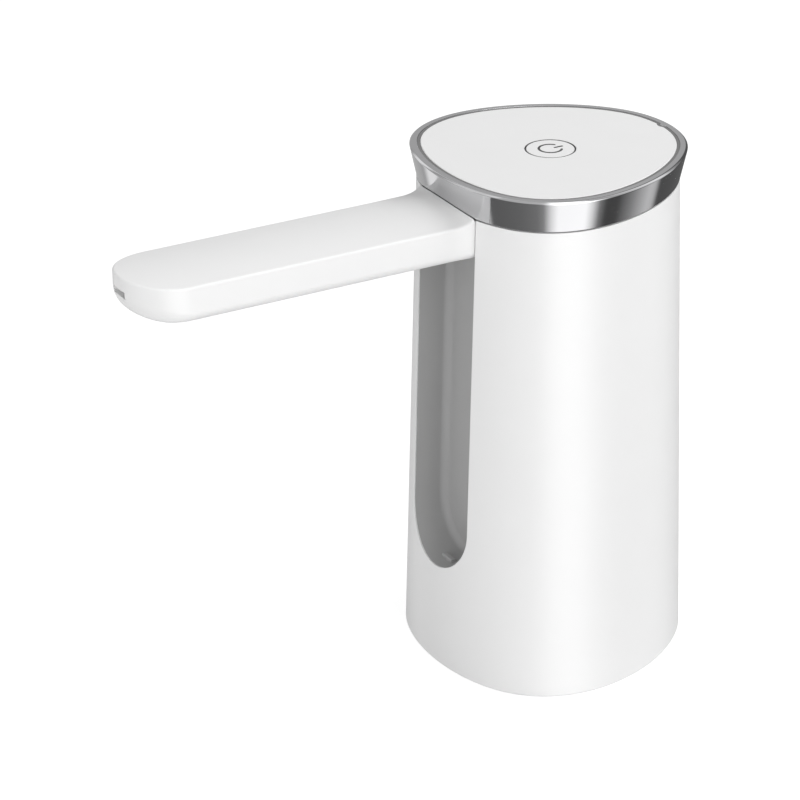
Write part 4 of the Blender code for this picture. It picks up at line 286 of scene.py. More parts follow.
# Bands round the studio walls: azimuth in degrees and level, as the plated ring and the gloss see them
BANDS = (
    (-118, 0.50), (-86, 0.46), (-80, 1.05), (-71, 1.10), (-66, 0.44), (-34, 0.42), (-30, 0.62),
    (-24, 0.64), (-21, 0.15), (20, 0.19), (44, 0.24), (54, 0.34), (64, 1.05), (74, 1.55),
    (110, 1.60), (118, 1.05), (126, 0.26), (134, 0.08), (146, 0.09), (160, 0.32), (177, 0.74),
    (182, 0.66), (187, 0.10), (226, 0.13), (236, 0.56),
)


# Numbers and flat outlines


def clamped(value):
    return max(0.0, min(1.0, value))


def steps_between(first, last, count):
    """Evenly spaced values from first to last, both of them with it."""
    return [first + (last - first) * i / count for i in range(count + 1)]


def full_turn(count):
    return steps_between(0, math.tau, count)[:-1]


def corner_turns():
    return steps_between(0, math.pi / 2, CORNER_STEPS)


def arc(radius, turns, centre=(0, 0)):
    """Flat points of a circle at the given turns."""
    return [(centre[0] + radius * math.cos(t), centre[1] + radius * math.sin(t)) for t in turns]


def lower_half(radius, centre):
    return arc(radius, steps_between(math.pi, math.tau, END_SEGMENTS), centre)


def rectangle(low_a, high_a, low_b, high_b):
    return [(low_a, low_b), (high_a, low_b), (high_a, high_b), (low_a, high_b)]


def rounded_edge(radius, top, edge):
    """Profile of the rounded upper edge of a wall, from the wall inwards."""
    return [(radius - edge * (1 - math.cos(t)), top - edge * (1 - math.sin(t))) for t in corner_turns()]


# The body's plan


def body_radius(z):
    return BODY_RADIUS - z * math.tan(DRAFT)


def plan_point(radius, turn):
    """A point of the body's plan, from how far it reaches at a turn. The turn starts at the back."""
    reach = radius
    slope = 0.0
    for count, height in LOBES:
        reach += height * math.cos(count * turn)
        slope -= count * height * math.sin(count * turn)
    sine = math.sin(turn)
    cosine = math.cos(turn)
    return -reach * sine - slope * cosine, reach * cosine - slope * sine


def plan_ring(radius, z):
    return [(*plan_point(radius, turn), z) for turn in full_turn(PLAN_SEGMENTS)]


def back_y(radius):
    return plan_point(radius, 0)[1]


def front_y(radius):
    return plan_point(radius, math.pi)[1]


# Meshes


def add_patch(mesh, rows, closed=True, looped=False):
    """Quads between rows of points. Closed joins each row's ends, and looped the last row to the first."""
    grid = [[mesh.verts.new(point) for point in row] for row in rows]
    pairs = list(zip(grid, grid[1:]))
    if looped:
        pairs.append((grid[-1], grid[0]))
    for lower, upper in pairs:
        count = len(lower)
        for i in range(count if closed else count - 1):
            j = (i + 1) % count
            mesh.faces.new((lower[i], lower[j], upper[j], upper[i]))


def add_cap(mesh, ring):
    mesh.faces.new([mesh.verts.new(point) for point in ring])


def finish(name, mesh):
    bmesh.ops.remove_doubles(mesh, verts=mesh.verts[:], dist=WELD)
    bmesh.ops.recalc_face_normals(mesh, faces=mesh.faces[:])
    data = bpy.data.meshes.new(name)
    mesh.to_mesh(data)
    mesh.free()
    made = bpy.data.objects.new(name, data)
    bpy.context.scene.collection.objects.link(made)
    return made


def loft(name, rings, looped=False):
    mesh = bmesh.new()
    add_patch(mesh, rings, looped=looped)
    if not looped:
        add_cap(mesh, rings[0])
        add_cap(mesh, rings[-1])
    return finish(name, mesh)


def eased(profile, radius, looped=True):
    """Rounds each corner of a flat profile. A corner's third value, where it has one, is its own radius."""
    points = []
    count = len(profile)
    for i, corner in enumerate(profile):
        here = Vector(corner[:2])
        wanted = corner[2] if len(corner) > 2 else radius
        if wanted <= 0 or (not looped and i in (0, count - 1)):
            points.append(tuple(here))
            continue
        before = Vector(profile[i - 1][:2]) - here
        after = Vector(profile[(i + 1) % count][:2]) - here
        reach = min(wanted, before.length * CORNER_SHARE, after.length * CORNER_SHARE)
        start = here + before.normalized() * reach
        end = here + after.normalized() * reach
        for step in range(CORNER_STEPS + 1):
            t = step / CORNER_STEPS
            points.append(tuple(start * (1 - t) ** 2 + here * 2 * t * (1 - t) + end * t ** 2))
    return points


def plan_loft(name, profile, looped=False):
    """A loft through the body's plan at each radius and height of a profile."""
    return loft(name, [plan_ring(radius, z) for radius, z in profile], looped)


def circle(radius, z, segments, centre=(0, 0)):
    return [(x, y, z) for x, y in arc(radius, full_turn(segments), centre)]


def turned(name, profile, centre=(0, 0), segments=ROUND_SEGMENTS):
    mesh = bmesh.new()
    hollow = profile[0][0] > 0 or profile[-1][0] > 0
    add_patch(mesh, [circle(radius, z, segments, centre) for radius, z in profile], looped=hollow)
    return finish(name, mesh)


def disc(name, radius, low, high, centre=(0, 0), segments=ROUND_SEGMENTS):
    return turned(name, [(0, low), (radius, low), (radius, high), (0, high)], centre, segments)


def prism(name, outline, start, end, axis="Z"):
    """A flat outline extruded along an axis, in (x, y) for Z, (x, z) for Y and (y, z) for X."""
    if axis == "Z":
        rings = [[(a, b, level) for a, b in outline] for level in (start, end)]
    elif axis == "Y":
        rings = [[(a, level, b) for a, b in outline] for level in (start, end)]
    else:
        rings = [[(level, a, b) for a, b in outline] for level in (start, end)]
    return loft(name, rings)


def rounded_rectangle(half_width, half_height, radius, centre=(0, 0)):
    outline = []
    for quarter, (side_a, side_b) in enumerate(((1, 1), (-1, 1), (-1, -1), (1, -1))):
        corner = (centre[0] + side_a * (half_width - radius), centre[1] + side_b * (half_height - radius))
        outline += arc(radius, [math.pi / 2 * quarter + turn for turn in corner_turns()], corner)
    return outline


def box(name, low, high):
    return prism(name, rectangle(low[0], high[0], low[1], high[1]), low[2], high[2])


def rod(name, radius, start, end, segments=ROUND_SEGMENTS):
    start = Vector(start)
    end = Vector(end)
    made = disc(name, radius, 0, (end - start).length, segments=segments)
    turn = (end - start).to_track_quat("Z", "Y").to_matrix().to_4x4()
    made.data.transform(Matrix.Translation(start) @ turn)
    return made


def combine(body, tool, operation):
    """Joins, cuts or meets two closed meshes, and leaves the result in the first."""
    modifier = body.modifiers.new(operation.title(), "BOOLEAN")
    modifier.operation = operation
    modifier.object = tool
    modifier.solver = "MANIFOLD"
    for data in (body.data, tool.data):
        data.transform(Matrix.Scale(SOLVER_SCALE, 4))
    graph = bpy.context.evaluated_depsgraph_get()
    made = bpy.data.meshes.new_from_object(body.evaluated_get(graph))
    body.modifiers.clear()
    spent = [body.data, tool.data]
    body.data = made
    bpy.data.objects.remove(tool)
    for data in spent:
        bpy.data.meshes.remove(data)
    made.transform(Matrix.Scale(1 / SOLVER_SCALE, 4))
    made.name = body.name
    return body


def cut(body, *tools):
    for tool in tools:
        combine(body, tool, "DIFFERENCE")
    return body


def join(body, *tools):
    for tool in tools:
        combine(body, tool, "UNION")
    return body


def common(body, tool):
    return combine(body, tool, "INTERSECT")


# Shell, channel, ring, lid and button


def groove_outline(half_width, top):
    """The groove's outline in the front view: straight sides over a half round lower end."""
    right = [(half_width, z) for z in steps_between(GROOVE_END_Z, top, WALL_ROWS)[1:]]
    return lower_half(half_width, (0, GROOVE_END_Z)) + right + [(-x, z) for x, z in right[::-1]]


def body_plug(name, inset, low, high):
    return plan_loft(name, [(body_radius(z) - inset, z) for z in (low, high)])


def make_shell_skin():
    """White tapered sleeve: rounded foot, groove in its front and charging slot at its back."""
    levels = [(FOOT_EDGE * (1 - math.cos(t)), FOOT_EDGE * (1 - math.sin(t))) for t in corner_turns()]
    levels += [(z, 0) for z in steps_between(FOOT_EDGE, SHELL_HEIGHT, WALL_ROWS)[1:]]
    lip_top = LIP_BOTTOM + LIP_THICKNESS
    levels += [
        (SHELL_HEIGHT, SHELL_WALL),
        (lip_top + LIP_DEPTH, SHELL_WALL),
        (lip_top, SHELL_WALL + LIP_DEPTH),
        (LIP_BOTTOM, SHELL_WALL + LIP_DEPTH),
        (LIP_BOTTOM, SHELL_WALL),
        (0, SHELL_WALL),
    ]
    shell = plan_loft("shell_skin", [(body_radius(z) - inset, z) for z, inset in levels], looped=True)
    top = SHELL_HEIGHT + OVERRUN
    front = front_y(BODY_RADIUS) - OVERRUN
    seat_half_width = GROOVE_HALF_WIDTH + LINER_WALL + GAP
    opening = prism("opening", groove_outline(GROOVE_HALF_WIDTH, top), front, -LINER_BACK_DEPTH, "Y")
    seat = prism("rabbet", groove_outline(seat_half_width, top), front, -LINER_BACK_DEPTH, "Y")
    common(seat, body_plug("rabbet_face", RABBET_FACE, 0, top))
    slot = rounded_rectangle(PORT_SLOT_HALF_WIDTH, PORT_SLOT_HALF_HEIGHT, PORT_SLOT_CORNER, (0, PORT_Z))
    port = prism("port_slot", slot, 0, back_y(BODY_RADIUS) + OVERRUN, "Y")
    return cut(shell, opening, seat, port)


def channel_back_y(z):
    """The channel's back follows the draft of the front."""
    return -LINER_BACK_DEPTH - (HINGE_Z - z) * math.tan(DRAFT)


def channel_tool(name, half_width, depth_past, front, top):
    """A plug for one face of the channel, rounded round its back, which lies depth_past behind that face."""
    rings = [[(x, front, z) for x, z in groove_outline(half_width, top)]]
    for turn in corner_turns():
        inset = LINER_CORNER * (1 - math.cos(turn))
        ahead = LINER_CORNER * (1 - math.sin(turn))
        outline = groove_outline(half_width - inset, top)
        rings.append([(x, channel_back_y(z) + depth_past - ahead, z) for x, z in outline])
    return loft(name, rings)


def make_channel_skin():
    """Grey channel that the arm folds into, with its catch tab."""
    top = SHELL_HEIGHT - GAP
    front = front_y(BODY_RADIUS) - OVERRUN
    liner = channel_tool("channel_skin", GROOVE_HALF_WIDTH + LINER_WALL, LINER_BACK_WALL, front, top)
    common(liner, body_plug("liner_front", RABBET_FACE + RABBET_SEAM, 0, SHELL_HEIGHT))
    channel = channel_tool("channel", GROOVE_HALF_WIDTH, 0, front - OVERRUN, top + OVERRUN)
    half = GROOVE_HALF_WIDTH + LINER_WALL + OVERRUN
    room_front = channel_back_y(HINGE_Z) - LINER_CORNER - GAP
    behind = box("knuckle_room", (-half, room_front, LINER_BACK_TOP), (half, 0, top + OVERRUN))
    cut(liner, channel, behind)
    floor_z = GROOVE_END_Z - GROOVE_HALF_WIDTH
    tab_back = -CATCH_TAB_FRONT + CATCH_TAB_DEPTH
    tab = rectangle(-CATCH_TAB_FRONT, tab_back, floor_z - LINER_WALL / 2, floor_z + CATCH_TAB_HEIGHT)
    half = CATCH_TAB_HALF_WIDTH
    return join(liner, prism("catch_tab", eased(tab, PANEL_EDGE), -half, half, "X"))


def ring_top_radius():
    return body_radius(SHELL_HEIGHT) + RING_FLARE - RING_BEVEL


def ring_inner_radius():
    return ring_top_radius() - RING_FACE


def key_centre():
    return KEY_X, back_y(ring_inner_radius()) + KEY_INSET


def make_ring_skin():
    """Plated band with softened edges and the small key at the back of its inner wall."""
    foot = body_radius(SHELL_HEIGHT)
    ledge = ring_inner_radius() - RING_LEDGE_WIDTH
    ledge_top = PANEL_BOTTOM - GAP
    soft = RING_BEVEL / 3
    fine = RING_BEVEL / 9
    profile = [
        (foot, RING_FOOT, soft),
        (foot + RING_FLARE, RING_TOP - RING_BEVEL, soft),
        (ring_top_radius(), RING_TOP, soft),
        (ring_inner_radius(), RING_TOP, fine),
        (ring_inner_radius(), ledge_top, fine),
        (ledge, ledge_top, fine),
        (ledge, ledge_top - RING_LEDGE_THICKNESS, 0),
        (RING_BORE, ledge_top - RING_LEDGE_THICKNESS, 0),
        (RING_BORE, RING_FOOT, 0),
    ]
    ring = plan_loft("ring_skin", eased(profile, 0), looped=True)
    low = ledge_top - RING_LEDGE_THICKNESS / 2
    key_profile = [
        (0, low),
        (KEY_RADIUS, low),
        (KEY_RADIUS, RING_TOP - fine),
        (KEY_RADIUS - fine, RING_TOP),
        (0, RING_TOP),
    ]
    key = turned("key", key_profile, key_centre(), HOLE_SEGMENTS)
    within = ring_inner_radius() + RING_FACE / 2
    common(key, plan_loft("within", [(within, low - GAP), (within, RING_TOP + OVERRUN)]))
    return join(ring, key)


def make_trench_shade_strip():
    """Matt grey strip that fills the gap between the lid and the plated band, and the notch round the key:
    its grey is painted shade, standing in for the shade down in that gap.
    """
    outer = ring_inner_radius() - RABBET_SEAM
    inner = ring_inner_radius() - TRENCH + RABBET_SEAM
    low = PANEL_BOTTOM
    high = RING_TOP - TRENCH_SHADE_DEPTH
    seal = plan_loft("trench_shade_strip", rectangle(inner, outer, low, high), looped=True)
    within = KEY_RADIUS + TRENCH - RABBET_SEAM
    patch = disc("patch", within, low, high, key_centre(), HOLE_SEGMENTS)
    common(patch, plan_loft("reach", [(outer, low), (outer, high)]))
    join(seal, patch)
    key_hole = disc("key_hole", KEY_RADIUS + RABBET_SEAM, low - GAP, high + GAP, key_centre(), HOLE_SEGMENTS)
    return cut(seal, key_hole)


def make_button_gap_shade():
    """Soft near-black ring in the gap round the button: painted shade that keeps the gap dark from every
    side.
    """
    inner = BUTTON_RADIUS + BUTTON_SHADE_GAP
    outer = BUTTON_RADIUS + BUTTON_CLEARANCE - BUTTON_SHADE_GAP
    high = RING_TOP - BUTTON_SHADE_DEPTH
    return turned("button_gap_shade", rectangle(inner, outer, PANEL_BOTTOM, high), button_place())


def button_place():
    return 0, BUTTON_Y


def make_panel_skin():
    """White lid with a soft edge, a round hole for the button and a notch for the ring's key."""
    radius = ring_inner_radius() - TRENCH
    panel = plan_loft("panel_skin", [(radius, PANEL_BOTTOM)] + rounded_edge(radius, RING_TOP, PANEL_EDGE))
    above = RING_TOP + OVERRUN
    below = PANEL_BOTTOM - OVERRUN
    hole = BUTTON_RADIUS + BUTTON_CLEARANCE
    soft = BUTTON_EDGE / 2
    profile = [
        (0, below),
        (hole, below),
        (hole, RING_TOP - soft),
        (hole + soft / 3, RING_TOP - soft / 3),
        (hole + soft, RING_TOP),
        (hole + soft, above),
        (0, above),
    ]
    notch = disc("key_notch", KEY_RADIUS + TRENCH, below, above, key_centre(), HOLE_SEGMENTS)
    return cut(panel, turned("button_hole", profile, button_place()), notch)


def make_button_skin():
    cap_top = RING_TOP - BUTTON_SINK
    flange_top = PANEL_BOTTOM - GAP
    flange_bottom = flange_top - BUTTON_FLANGE_THICKNESS
    profile = [
        (0, BUTTON_STEM_BOTTOM),
        (BUTTON_STEM_RADIUS, BUTTON_STEM_BOTTOM),
        (BUTTON_STEM_RADIUS, flange_bottom),
        (BUTTON_FLANGE_RADIUS, flange_bottom),
        (BUTTON_FLANGE_RADIUS, flange_top),
        (BUTTON_RADIUS, flange_top),
        *rounded_edge(BUTTON_RADIUS, cap_top, BUTTON_EDGE),
        (0, cap_top),
    ]
    return turned("button_skin", profile, button_place())


def mark_cap(turn, first):
    """Round end of the mark's ring at one turn, without the two points that it shares with the ring."""
    angles = steps_between(first, first + math.pi, CORNER_STEPS * 2)[1:-1]
    return arc(MARK_STROKE / 2, angles, arc(MARK_RADIUS, [turn])[0])


def make_button_mark():
    """Generic sign for power, printed on the cap: an open ring with a bar in its opening."""
    top = RING_TOP - BUTTON_SINK + MARK_RISE
    low = top - 2 * MARK_RISE
    half = MARK_STROKE / 2
    first = math.pi / 2 + MARK_OPENING
    last = math.pi / 2 - MARK_OPENING + math.tau
    turns = steps_between(first, last, MARK_STEPS)
    outline = arc(MARK_RADIUS + half, turns) + mark_cap(last, last)
    outline += arc(MARK_RADIUS - half, turns[::-1]) + mark_cap(first, first + math.pi)
    mark = prism("button_mark", outline, low, top)
    middle = (MARK_BAR_TOP + MARK_BAR_BOTTOM) / 2
    bar = rounded_rectangle(half, (MARK_BAR_TOP - MARK_BAR_BOTTOM) / 2, half, (0, middle))
    join(mark, prism("bar", bar, low, top))
    mark.data.transform(Matrix.Translation((*button_place(), 0)))
    return mark


# Arm


def arm_half_width(y):
    """Half the arm's width, which swells smoothly to that of its root."""
    share = clamped((y - ROOT_EASED_Y) / (ROOT_FLAT_Y - ROOT_EASED_Y))
    smooth_share = share * share * (3 - 2 * share)
    return ARM_HALF_WIDTH + (ROOT_HALF_WIDTH - ARM_HALF_WIDTH) * smooth_share


def crown_z(x, y):
    """Height of the crowned top, which sweeps up to a low lip in front of the plated band."""
    end = front_y(body_radius(SHELL_HEIGHT)) + ROOT_RISE_ROUND * (x / ROOT_HALF_WIDTH) ** 2
    share = clamped(1 - (end - y) / ROOT_RISE_LENGTH)
    side_share = clamped(1 - (end - y) / ROOT_SIDE_RISE_LENGTH)
    out = min(1.0, (x / ARM_HALF_WIDTH) ** 2)
    rise = (1 - out) * ROOT_RISE * share ** ROOT_RISE_POWER + out * ROOT_SIDE_RISE * side_share ** 3
    return ARM_TOP - ARM_CROWN * (x / ARM_HALF_WIDTH) ** 2 + rise


def arm_stations():
    """Places along the arm's sides, from its tip to the hinge line, close together at its root."""
    straight = steps_between(ARM_TIP_CENTRE_Y, ROOT_ROWS_Y, WALL_ROWS)[1:]
    return straight + steps_between(ROOT_ROWS_Y, HINGE_Y, WALL_ROWS * 2)[1:]


def arm_ring(side_inset, tip_inset, drop=None, z=None):
    """The arm's outline, drawn in by its own amount at the sides and at the tip, at z or under the crown."""
    turns = steps_between(-math.pi / 2, math.pi / 2, END_SEGMENTS)
    tip = []
    for turn in turns:
        bow = side_inset + (tip_inset - side_inset) * math.cos(turn)
        x = (ARM_HALF_WIDTH - side_inset) * math.sin(turn)
        tip.append((x, ARM_TIP_CENTRE_Y - (ARM_TIP_LENGTH - bow) * math.cos(turn)))
    right = [(arm_half_width(y) - side_inset, y) for y in arm_stations()]
    hinge_x = right[-1][0]
    root = [(-hinge_x * math.sin(turn), HINGE_Y) for turn in turns[1:-1]]
    outline = tip + right + root + [(-x, y) for x, y in right[::-1]]
    return [(x, y, crown_z(x, y) - drop if z is None else z) for x, y in outline]


def arm_crown(mesh, ring):
    """Closes the arm's top with strips that run along it, so that it keeps its crown."""
    tip = ring[:END_SEGMENTS + 1]
    rows = [tip]
    half = tip[-1][0]
    for share in CROWN_SHARES:
        rows.append([(x, y + (ARM_TIP_CENTRE_Y - y) * share, crown_z(x, y)) for x, y, _ in tip])
    rows.append([(x, ARM_TIP_CENTRE_Y, crown_z(x, ARM_TIP_CENTRE_Y)) for x, _, _ in tip])
    rows[-1][0] = tip[0]
    rows[-1][-1] = tip[-1]
    for y in arm_stations():
        width = arm_half_width(y) - (ARM_HALF_WIDTH - half)
        rows.append([(x * width / half, y, crown_z(x * width / half, y)) for x, _, _ in tip])
    add_patch(mesh, rows, closed=False)


def arm_form():
    """The arm without its hinge barrel: a crowned top, straight sides and an underside that bows in."""
    rows = []
    for step in range(BOW_STEPS + 1):
        turn = math.pi / 2 * step / BOW_STEPS
        depth_share = 1 - math.sin(turn)
        height_share = 1 - math.cos(turn)
        ring = arm_ring(SIDE_BOW_DEPTH * depth_share, TIP_BOW_DEPTH * depth_share, z=0)
        row = []
        for x, y, _ in ring:
            tip_share = clamped((ARM_TIP_CENTRE_Y - y) / ARM_TIP_LENGTH)
            height = SIDE_BOW_HEIGHT + (TIP_BOW_HEIGHT - SIDE_BOW_HEIGHT) * tip_share
            row.append((x, y, ARM_BOTTOM + height * height_share))
        rows.append(row)
    for turn in corner_turns():
        inset = ARM_EDGE * (1 - math.cos(turn))
        rows.append(arm_ring(inset, inset, drop=ARM_EDGE * (1 - math.sin(turn))))
    mesh = bmesh.new()
    add_patch(mesh, rows)
    add_cap(mesh, rows[0])
    arm_crown(mesh, rows[-1])
    return finish("arm_skin", mesh)


def hollow_outline(inset=0.0):
    half = HOLLOW_HALF_WIDTH - inset
    tip = lower_half(half, (0, HOLLOW_TIP_Y + HOLLOW_HALF_WIDTH))
    return tip + [(half, KNUCKLE_WALL_Y), (-half, KNUCKLE_WALL_Y)]


def barrel_outline(front, last_turn):
    """The rounded back of a knuckle seen from the side, from its underside up, closed by a line in front."""
    back = arc(BARREL_RADIUS, steps_between(-math.pi / 2, last_turn, END_SEGMENTS), (HINGE_Y, HINGE_Z))
    return [(front, ARM_BOTTOM)] + back + [(front, back[-1][1])]


def catch_cutters():
    """The slit in the tip that the channel's catch tab enters, and the narrow lead that it comes up by."""
    tip_y = ARM_TIP_CENTRE_Y - ARM_TIP_LENGTH
    front = tip_y - OVERRUN
    top = ARM_TOP - CATCH_TOP_DROP
    foot = top - CATCH_HEIGHT
    half = CATCH_LEAD_HALF_WIDTH
    return [
        box("slit", (-CATCH_HALF_WIDTH, front, foot), (CATCH_HALF_WIDTH, tip_y + CATCH_DEPTH, top)),
        box("lead", (-half, front, top - CATCH_LEAD_HEIGHT), (half, tip_y + CATCH_LEAD_DEPTH, foot + GAP)),
    ]


def make_arm_skin():
    """White upper part of the arm: hinge barrel, hollow, catch slit, and room for the ring and the tee."""
    arm = arm_form()
    outline = barrel_outline(HINGE_Y - BASE_THICKNESS, math.pi / 2)
    join(arm, prism("barrel", outline, -BARREL_HALF_WIDTH, BARREL_HALF_WIDTH, "X"))
    below = ARM_BOTTOM - OVERRUN
    behind = HINGE_Y + BARREL_RADIUS + OVERRUN
    half = KNUCKLE_BORE_HALF_LENGTH
    hollow = prism("hollow", hollow_outline(), below, ARM_TOP - HOLLOW_CEILING_DROP)
    bore = rod("bore", KNUCKLE_BORE, (-half, HINGE_Y, HINGE_Z), (half, HINGE_Y, HINGE_Z))
    lower_room = box("lower_room", (-half, KNUCKLE_WALL_Y - GAP, below), (half, behind, HINGE_Z))
    slot = STEM_SLOT_HALF
    stem_room = box("stem_room", (-slot, HINGE_Y, below), (slot, behind, HINGE_Z + slot))
    foot = body_radius(SHELL_HEIGHT) + ROOT_SEAM
    ring_profile = [(foot, ARM_TOP + ROOT_STEP), (foot, RING_FOOT), (foot + RING_FLARE, RING_TOP)]
    ring_room = plan_loft("ring_room", ring_profile)
    return cut(arm, ring_room, hollow, bore, lower_room, stem_room, *catch_cutters())


def make_arm_base_skin():
    """Plate that closes the arm from below, with the lower half of its knuckle."""
    outline = hollow_outline(GAP)
    outline[-2:] = [(x, KNUCKLE_WALL_Y + BASE_THICKNESS) for x, _ in outline[-2:]]
    plate = prism("arm_base_skin", outline, ARM_BOTTOM, ARM_BOTTOM + BASE_THICKNESS)
    half = HOLLOW_HALF_WIDTH - GAP
    wide = half + OVERRUN
    behind = HINGE_Y + BARREL_RADIUS + OVERRUN
    slot = STEM_SLOT_HALF
    below = ARM_BOTTOM - OVERRUN
    join(plate, prism("knuckle", barrel_outline(KNUCKLE_WALL_Y, 0.0), -half, half, "X"))
    cut(
        plate,
        box("above", (-wide, KNUCKLE_WALL_Y - OVERRUN, HINGE_Z - GAP), (wide, behind, ARM_TOP)),
        rod("bore", KNUCKLE_BORE, (-wide, HINGE_Y, HINGE_Z), (wide, HINGE_Y, HINGE_Z)),
        box("stem_sweep", (-slot, HINGE_Y - slot, below), (slot, behind, ARM_TOP)),
        disc("nozzle_hole", NOZZLE_RADIUS + GAP, below, HINGE_Z, (0, NOZZLE_Y)),
    )
    return plate


def make_nozzle_skin():
    low = ARM_BOTTOM + NOZZLE_RECESS
    profile = [
        (NOZZLE_BORE, low),
        (NOZZLE_RADIUS, low),
        (NOZZLE_RADIUS, low + NOZZLE_HEIGHT, 0),
        (NOZZLE_BORE, low + NOZZLE_HEIGHT, 0),
    ]
    return turned("nozzle_skin", eased(profile, BUTTON_EDGE), (0, NOZZLE_Y))


# Neck socket and charging socket


def make_neck_socket_skin():
    """Collar that slides over the bottle's neck, with its flange, lead-in, vents and screw holes."""
    flange = BODY_RADIUS - SHELL_WALL - SOCKET_FLANGE_CLEARANCE
    socket = plan_loft("neck_socket_skin", [(flange, SOCKET_FLANGE_BOTTOM), (flange, SOCKET_FLANGE_TOP)])
    foot = SOCKET_FLANGE_BOTTOM + SOCKET_EDGE
    join(socket, disc("tube", SOCKET_BORE + SOCKET_WALL, foot, SOCKET_CEILING_TOP, segments=PLAN_SEGMENTS))
    bore = [
        (0, SOCKET_FLANGE_BOTTOM - OVERRUN, 0),
        (SOCKET_BORE + SOCKET_LEAD + OVERRUN, SOCKET_FLANGE_BOTTOM - OVERRUN, 0),
        (SOCKET_BORE, SOCKET_FLANGE_BOTTOM + SOCKET_LEAD, SOCKET_LEAD),
        (SOCKET_BORE, SOCKET_CEILING, SOCKET_EDGE),
        (0, SOCKET_CEILING, 0),
    ]
    cut(socket, turned("bore", eased(bore, 0), segments=PLAN_SEGMENTS))
    low = SOCKET_CEILING - OVERRUN
    high = SOCKET_CEILING_TOP + OVERRUN
    cut(socket, disc("barb_hole", BARB_RADIUS + GAP, low, high))
    for seat in around(SOCKET_SCREW_PLACE, 3, SOCKET_SCREW_TURN):
        cut(socket, disc("screw_hole", SCREW_RADIUS + GAP, low, high, seat, HOLE_SEGMENTS))
    for vent in around(VENT_PLACE, 2, math.pi / 2):
        cut(socket, disc("vent", VENT_RADIUS, low, high, vent, HOLE_SEGMENTS))
    return socket


def around(reach, count, first):
    return arc(reach, [first + turn for turn in full_turn(count)])


def make_gasket_skin():
    high = SOCKET_CEILING - GAP
    profile = rectangle(GASKET_INNER, SOCKET_BORE - GAP, high - GASKET_THICKNESS, high)
    return turned("neck_gasket_skin", eased(profile, SOCKET_EDGE), segments=PLAN_SEGMENTS)


def make_barb_skin():
    """Hose barb for the intake, its teeth and bore softly rounded."""
    flange_top = SOCKET_CEILING - GAP
    flange_low = flange_top - BARB_FLANGE_THICKNESS
    profile = [(BARB_BORE, BARB_BOTTOM)]
    z = BARB_BOTTOM
    for _ in range(BARB_TEETH):
        profile.append((BARB_RADIUS, z))
        profile.append((BARB_RADIUS + BARB_TOOTH, z + BARB_PITCH - BARB_TOOTH))
        z += BARB_PITCH
    profile += [
        (BARB_RADIUS, z),
        (BARB_RADIUS, flange_low, SOCKET_EDGE),
        (BARB_FLANGE_RADIUS, flange_low, SOCKET_EDGE),
        (BARB_FLANGE_RADIUS, flange_top),
        (BARB_RADIUS, flange_top),
        (BARB_RADIUS, SOCKET_CEILING_TOP),
        (BARB_NIPPLE_RADIUS, SOCKET_CEILING_TOP + GAP),
        (BARB_NIPPLE_RADIUS, BARB_NIPPLE_TOP),
        (BARB_BORE, BARB_NIPPLE_TOP),
    ]
    return turned("inlet_barb_skin", eased(profile, BARB_EDGE))


def make_screw_skin(name, seat):
    """Pan head screw with a cross recess, its head under the socket's ceiling."""
    top = SOCKET_CEILING - GAP
    head = top - SCREW_HEAD_HEIGHT
    profile = [
        (0, head, 0),
        (SCREW_HEAD_RADIUS, head, SCREW_RECESS_DEPTH),
        (SCREW_HEAD_RADIUS, top, BARB_EDGE),
        (SCREW_RADIUS, top, 0),
        (SCREW_RADIUS, top + SOCKET_SCREW_LENGTH - SCREW_RADIUS, 0),
        (0, top + SOCKET_SCREW_LENGTH, 0),
    ]
    screw = turned(name, eased(profile, 0, looped=False), seat, HOLE_SEGMENTS)
    x, y = seat
    long = SCREW_RECESS_REACH
    short = SCREW_RECESS_HALF_WIDTH
    for half_x, half_y in ((long, short), (short, long)):
        low = (x - half_x, y - half_y, head - OVERRUN)
        cut(screw, box("recess", low, (x + half_x, y + half_y, head + SCREW_RECESS_DEPTH)))
    return screw


def port_end_y():
    return back_y(body_radius(PORT_Z) - SHELL_WALL) - PORT_SETBACK


def port_outline(inset):
    half_width = PORT_HALF_WIDTH - inset
    return rounded_rectangle(half_width, PORT_HALF_HEIGHT - inset, PORT_CORNER - inset, (0, PORT_Z))


def make_port_shell():
    """Thin drawn shell of the charging socket."""
    end_y = port_end_y()
    shell = prism("port_shell", port_outline(0), end_y - PORT_DEPTH, end_y, "Y")
    mouth = prism("mouth", port_outline(PORT_WALL), end_y - PORT_DEPTH + PORT_CORNER, end_y + OVERRUN, "Y")
    return cut(shell, mouth)


def make_port_tongue():
    """Tongue in the middle of the charging socket, its front edges softened."""
    end_y = port_end_y()
    half = PORT_HALF_WIDTH - PORT_CORNER
    back = end_y - PORT_DEPTH + PORT_CORNER
    outline = [
        (back, PORT_Z - PORT_WALL, 0),
        (end_y - PORT_CORNER, PORT_Z - PORT_WALL),
        (end_y - PORT_CORNER, PORT_Z + PORT_WALL),
        (back, PORT_Z + PORT_WALL, 0),
    ]
    return prism("port_tongue", eased(outline, BARB_EDGE), -half, half, "X")


def make_port_contacts():
    """Rows of plated strips along both faces of the tongue."""
    front = port_end_y() - PORT_CORNER - PORT_WALL
    back = front - PORT_DEPTH / 2
    reach = PORT_HALF_WIDTH - PORT_CORNER - PORT_WALL
    half = PORT_WALL + CONTACT_RISE
    strips = None
    for i in range(CONTACT_COUNT):
        x = reach * (2 * i / (CONTACT_COUNT - 1) - 1)
        low = (x - CONTACT_HALF_WIDTH, back, PORT_Z - half)
        strip = box("port_contacts", low, (x + CONTACT_HALF_WIDTH, front, PORT_Z + half))
        strips = join(strips, strip) if strips else strip
    return strips


# Materials


def new_material(name):
    made = bpy.data.materials.new(name)
    made.use_nodes = True
    made.node_tree.nodes.clear()
    return made, made.node_tree.nodes, made.node_tree.links


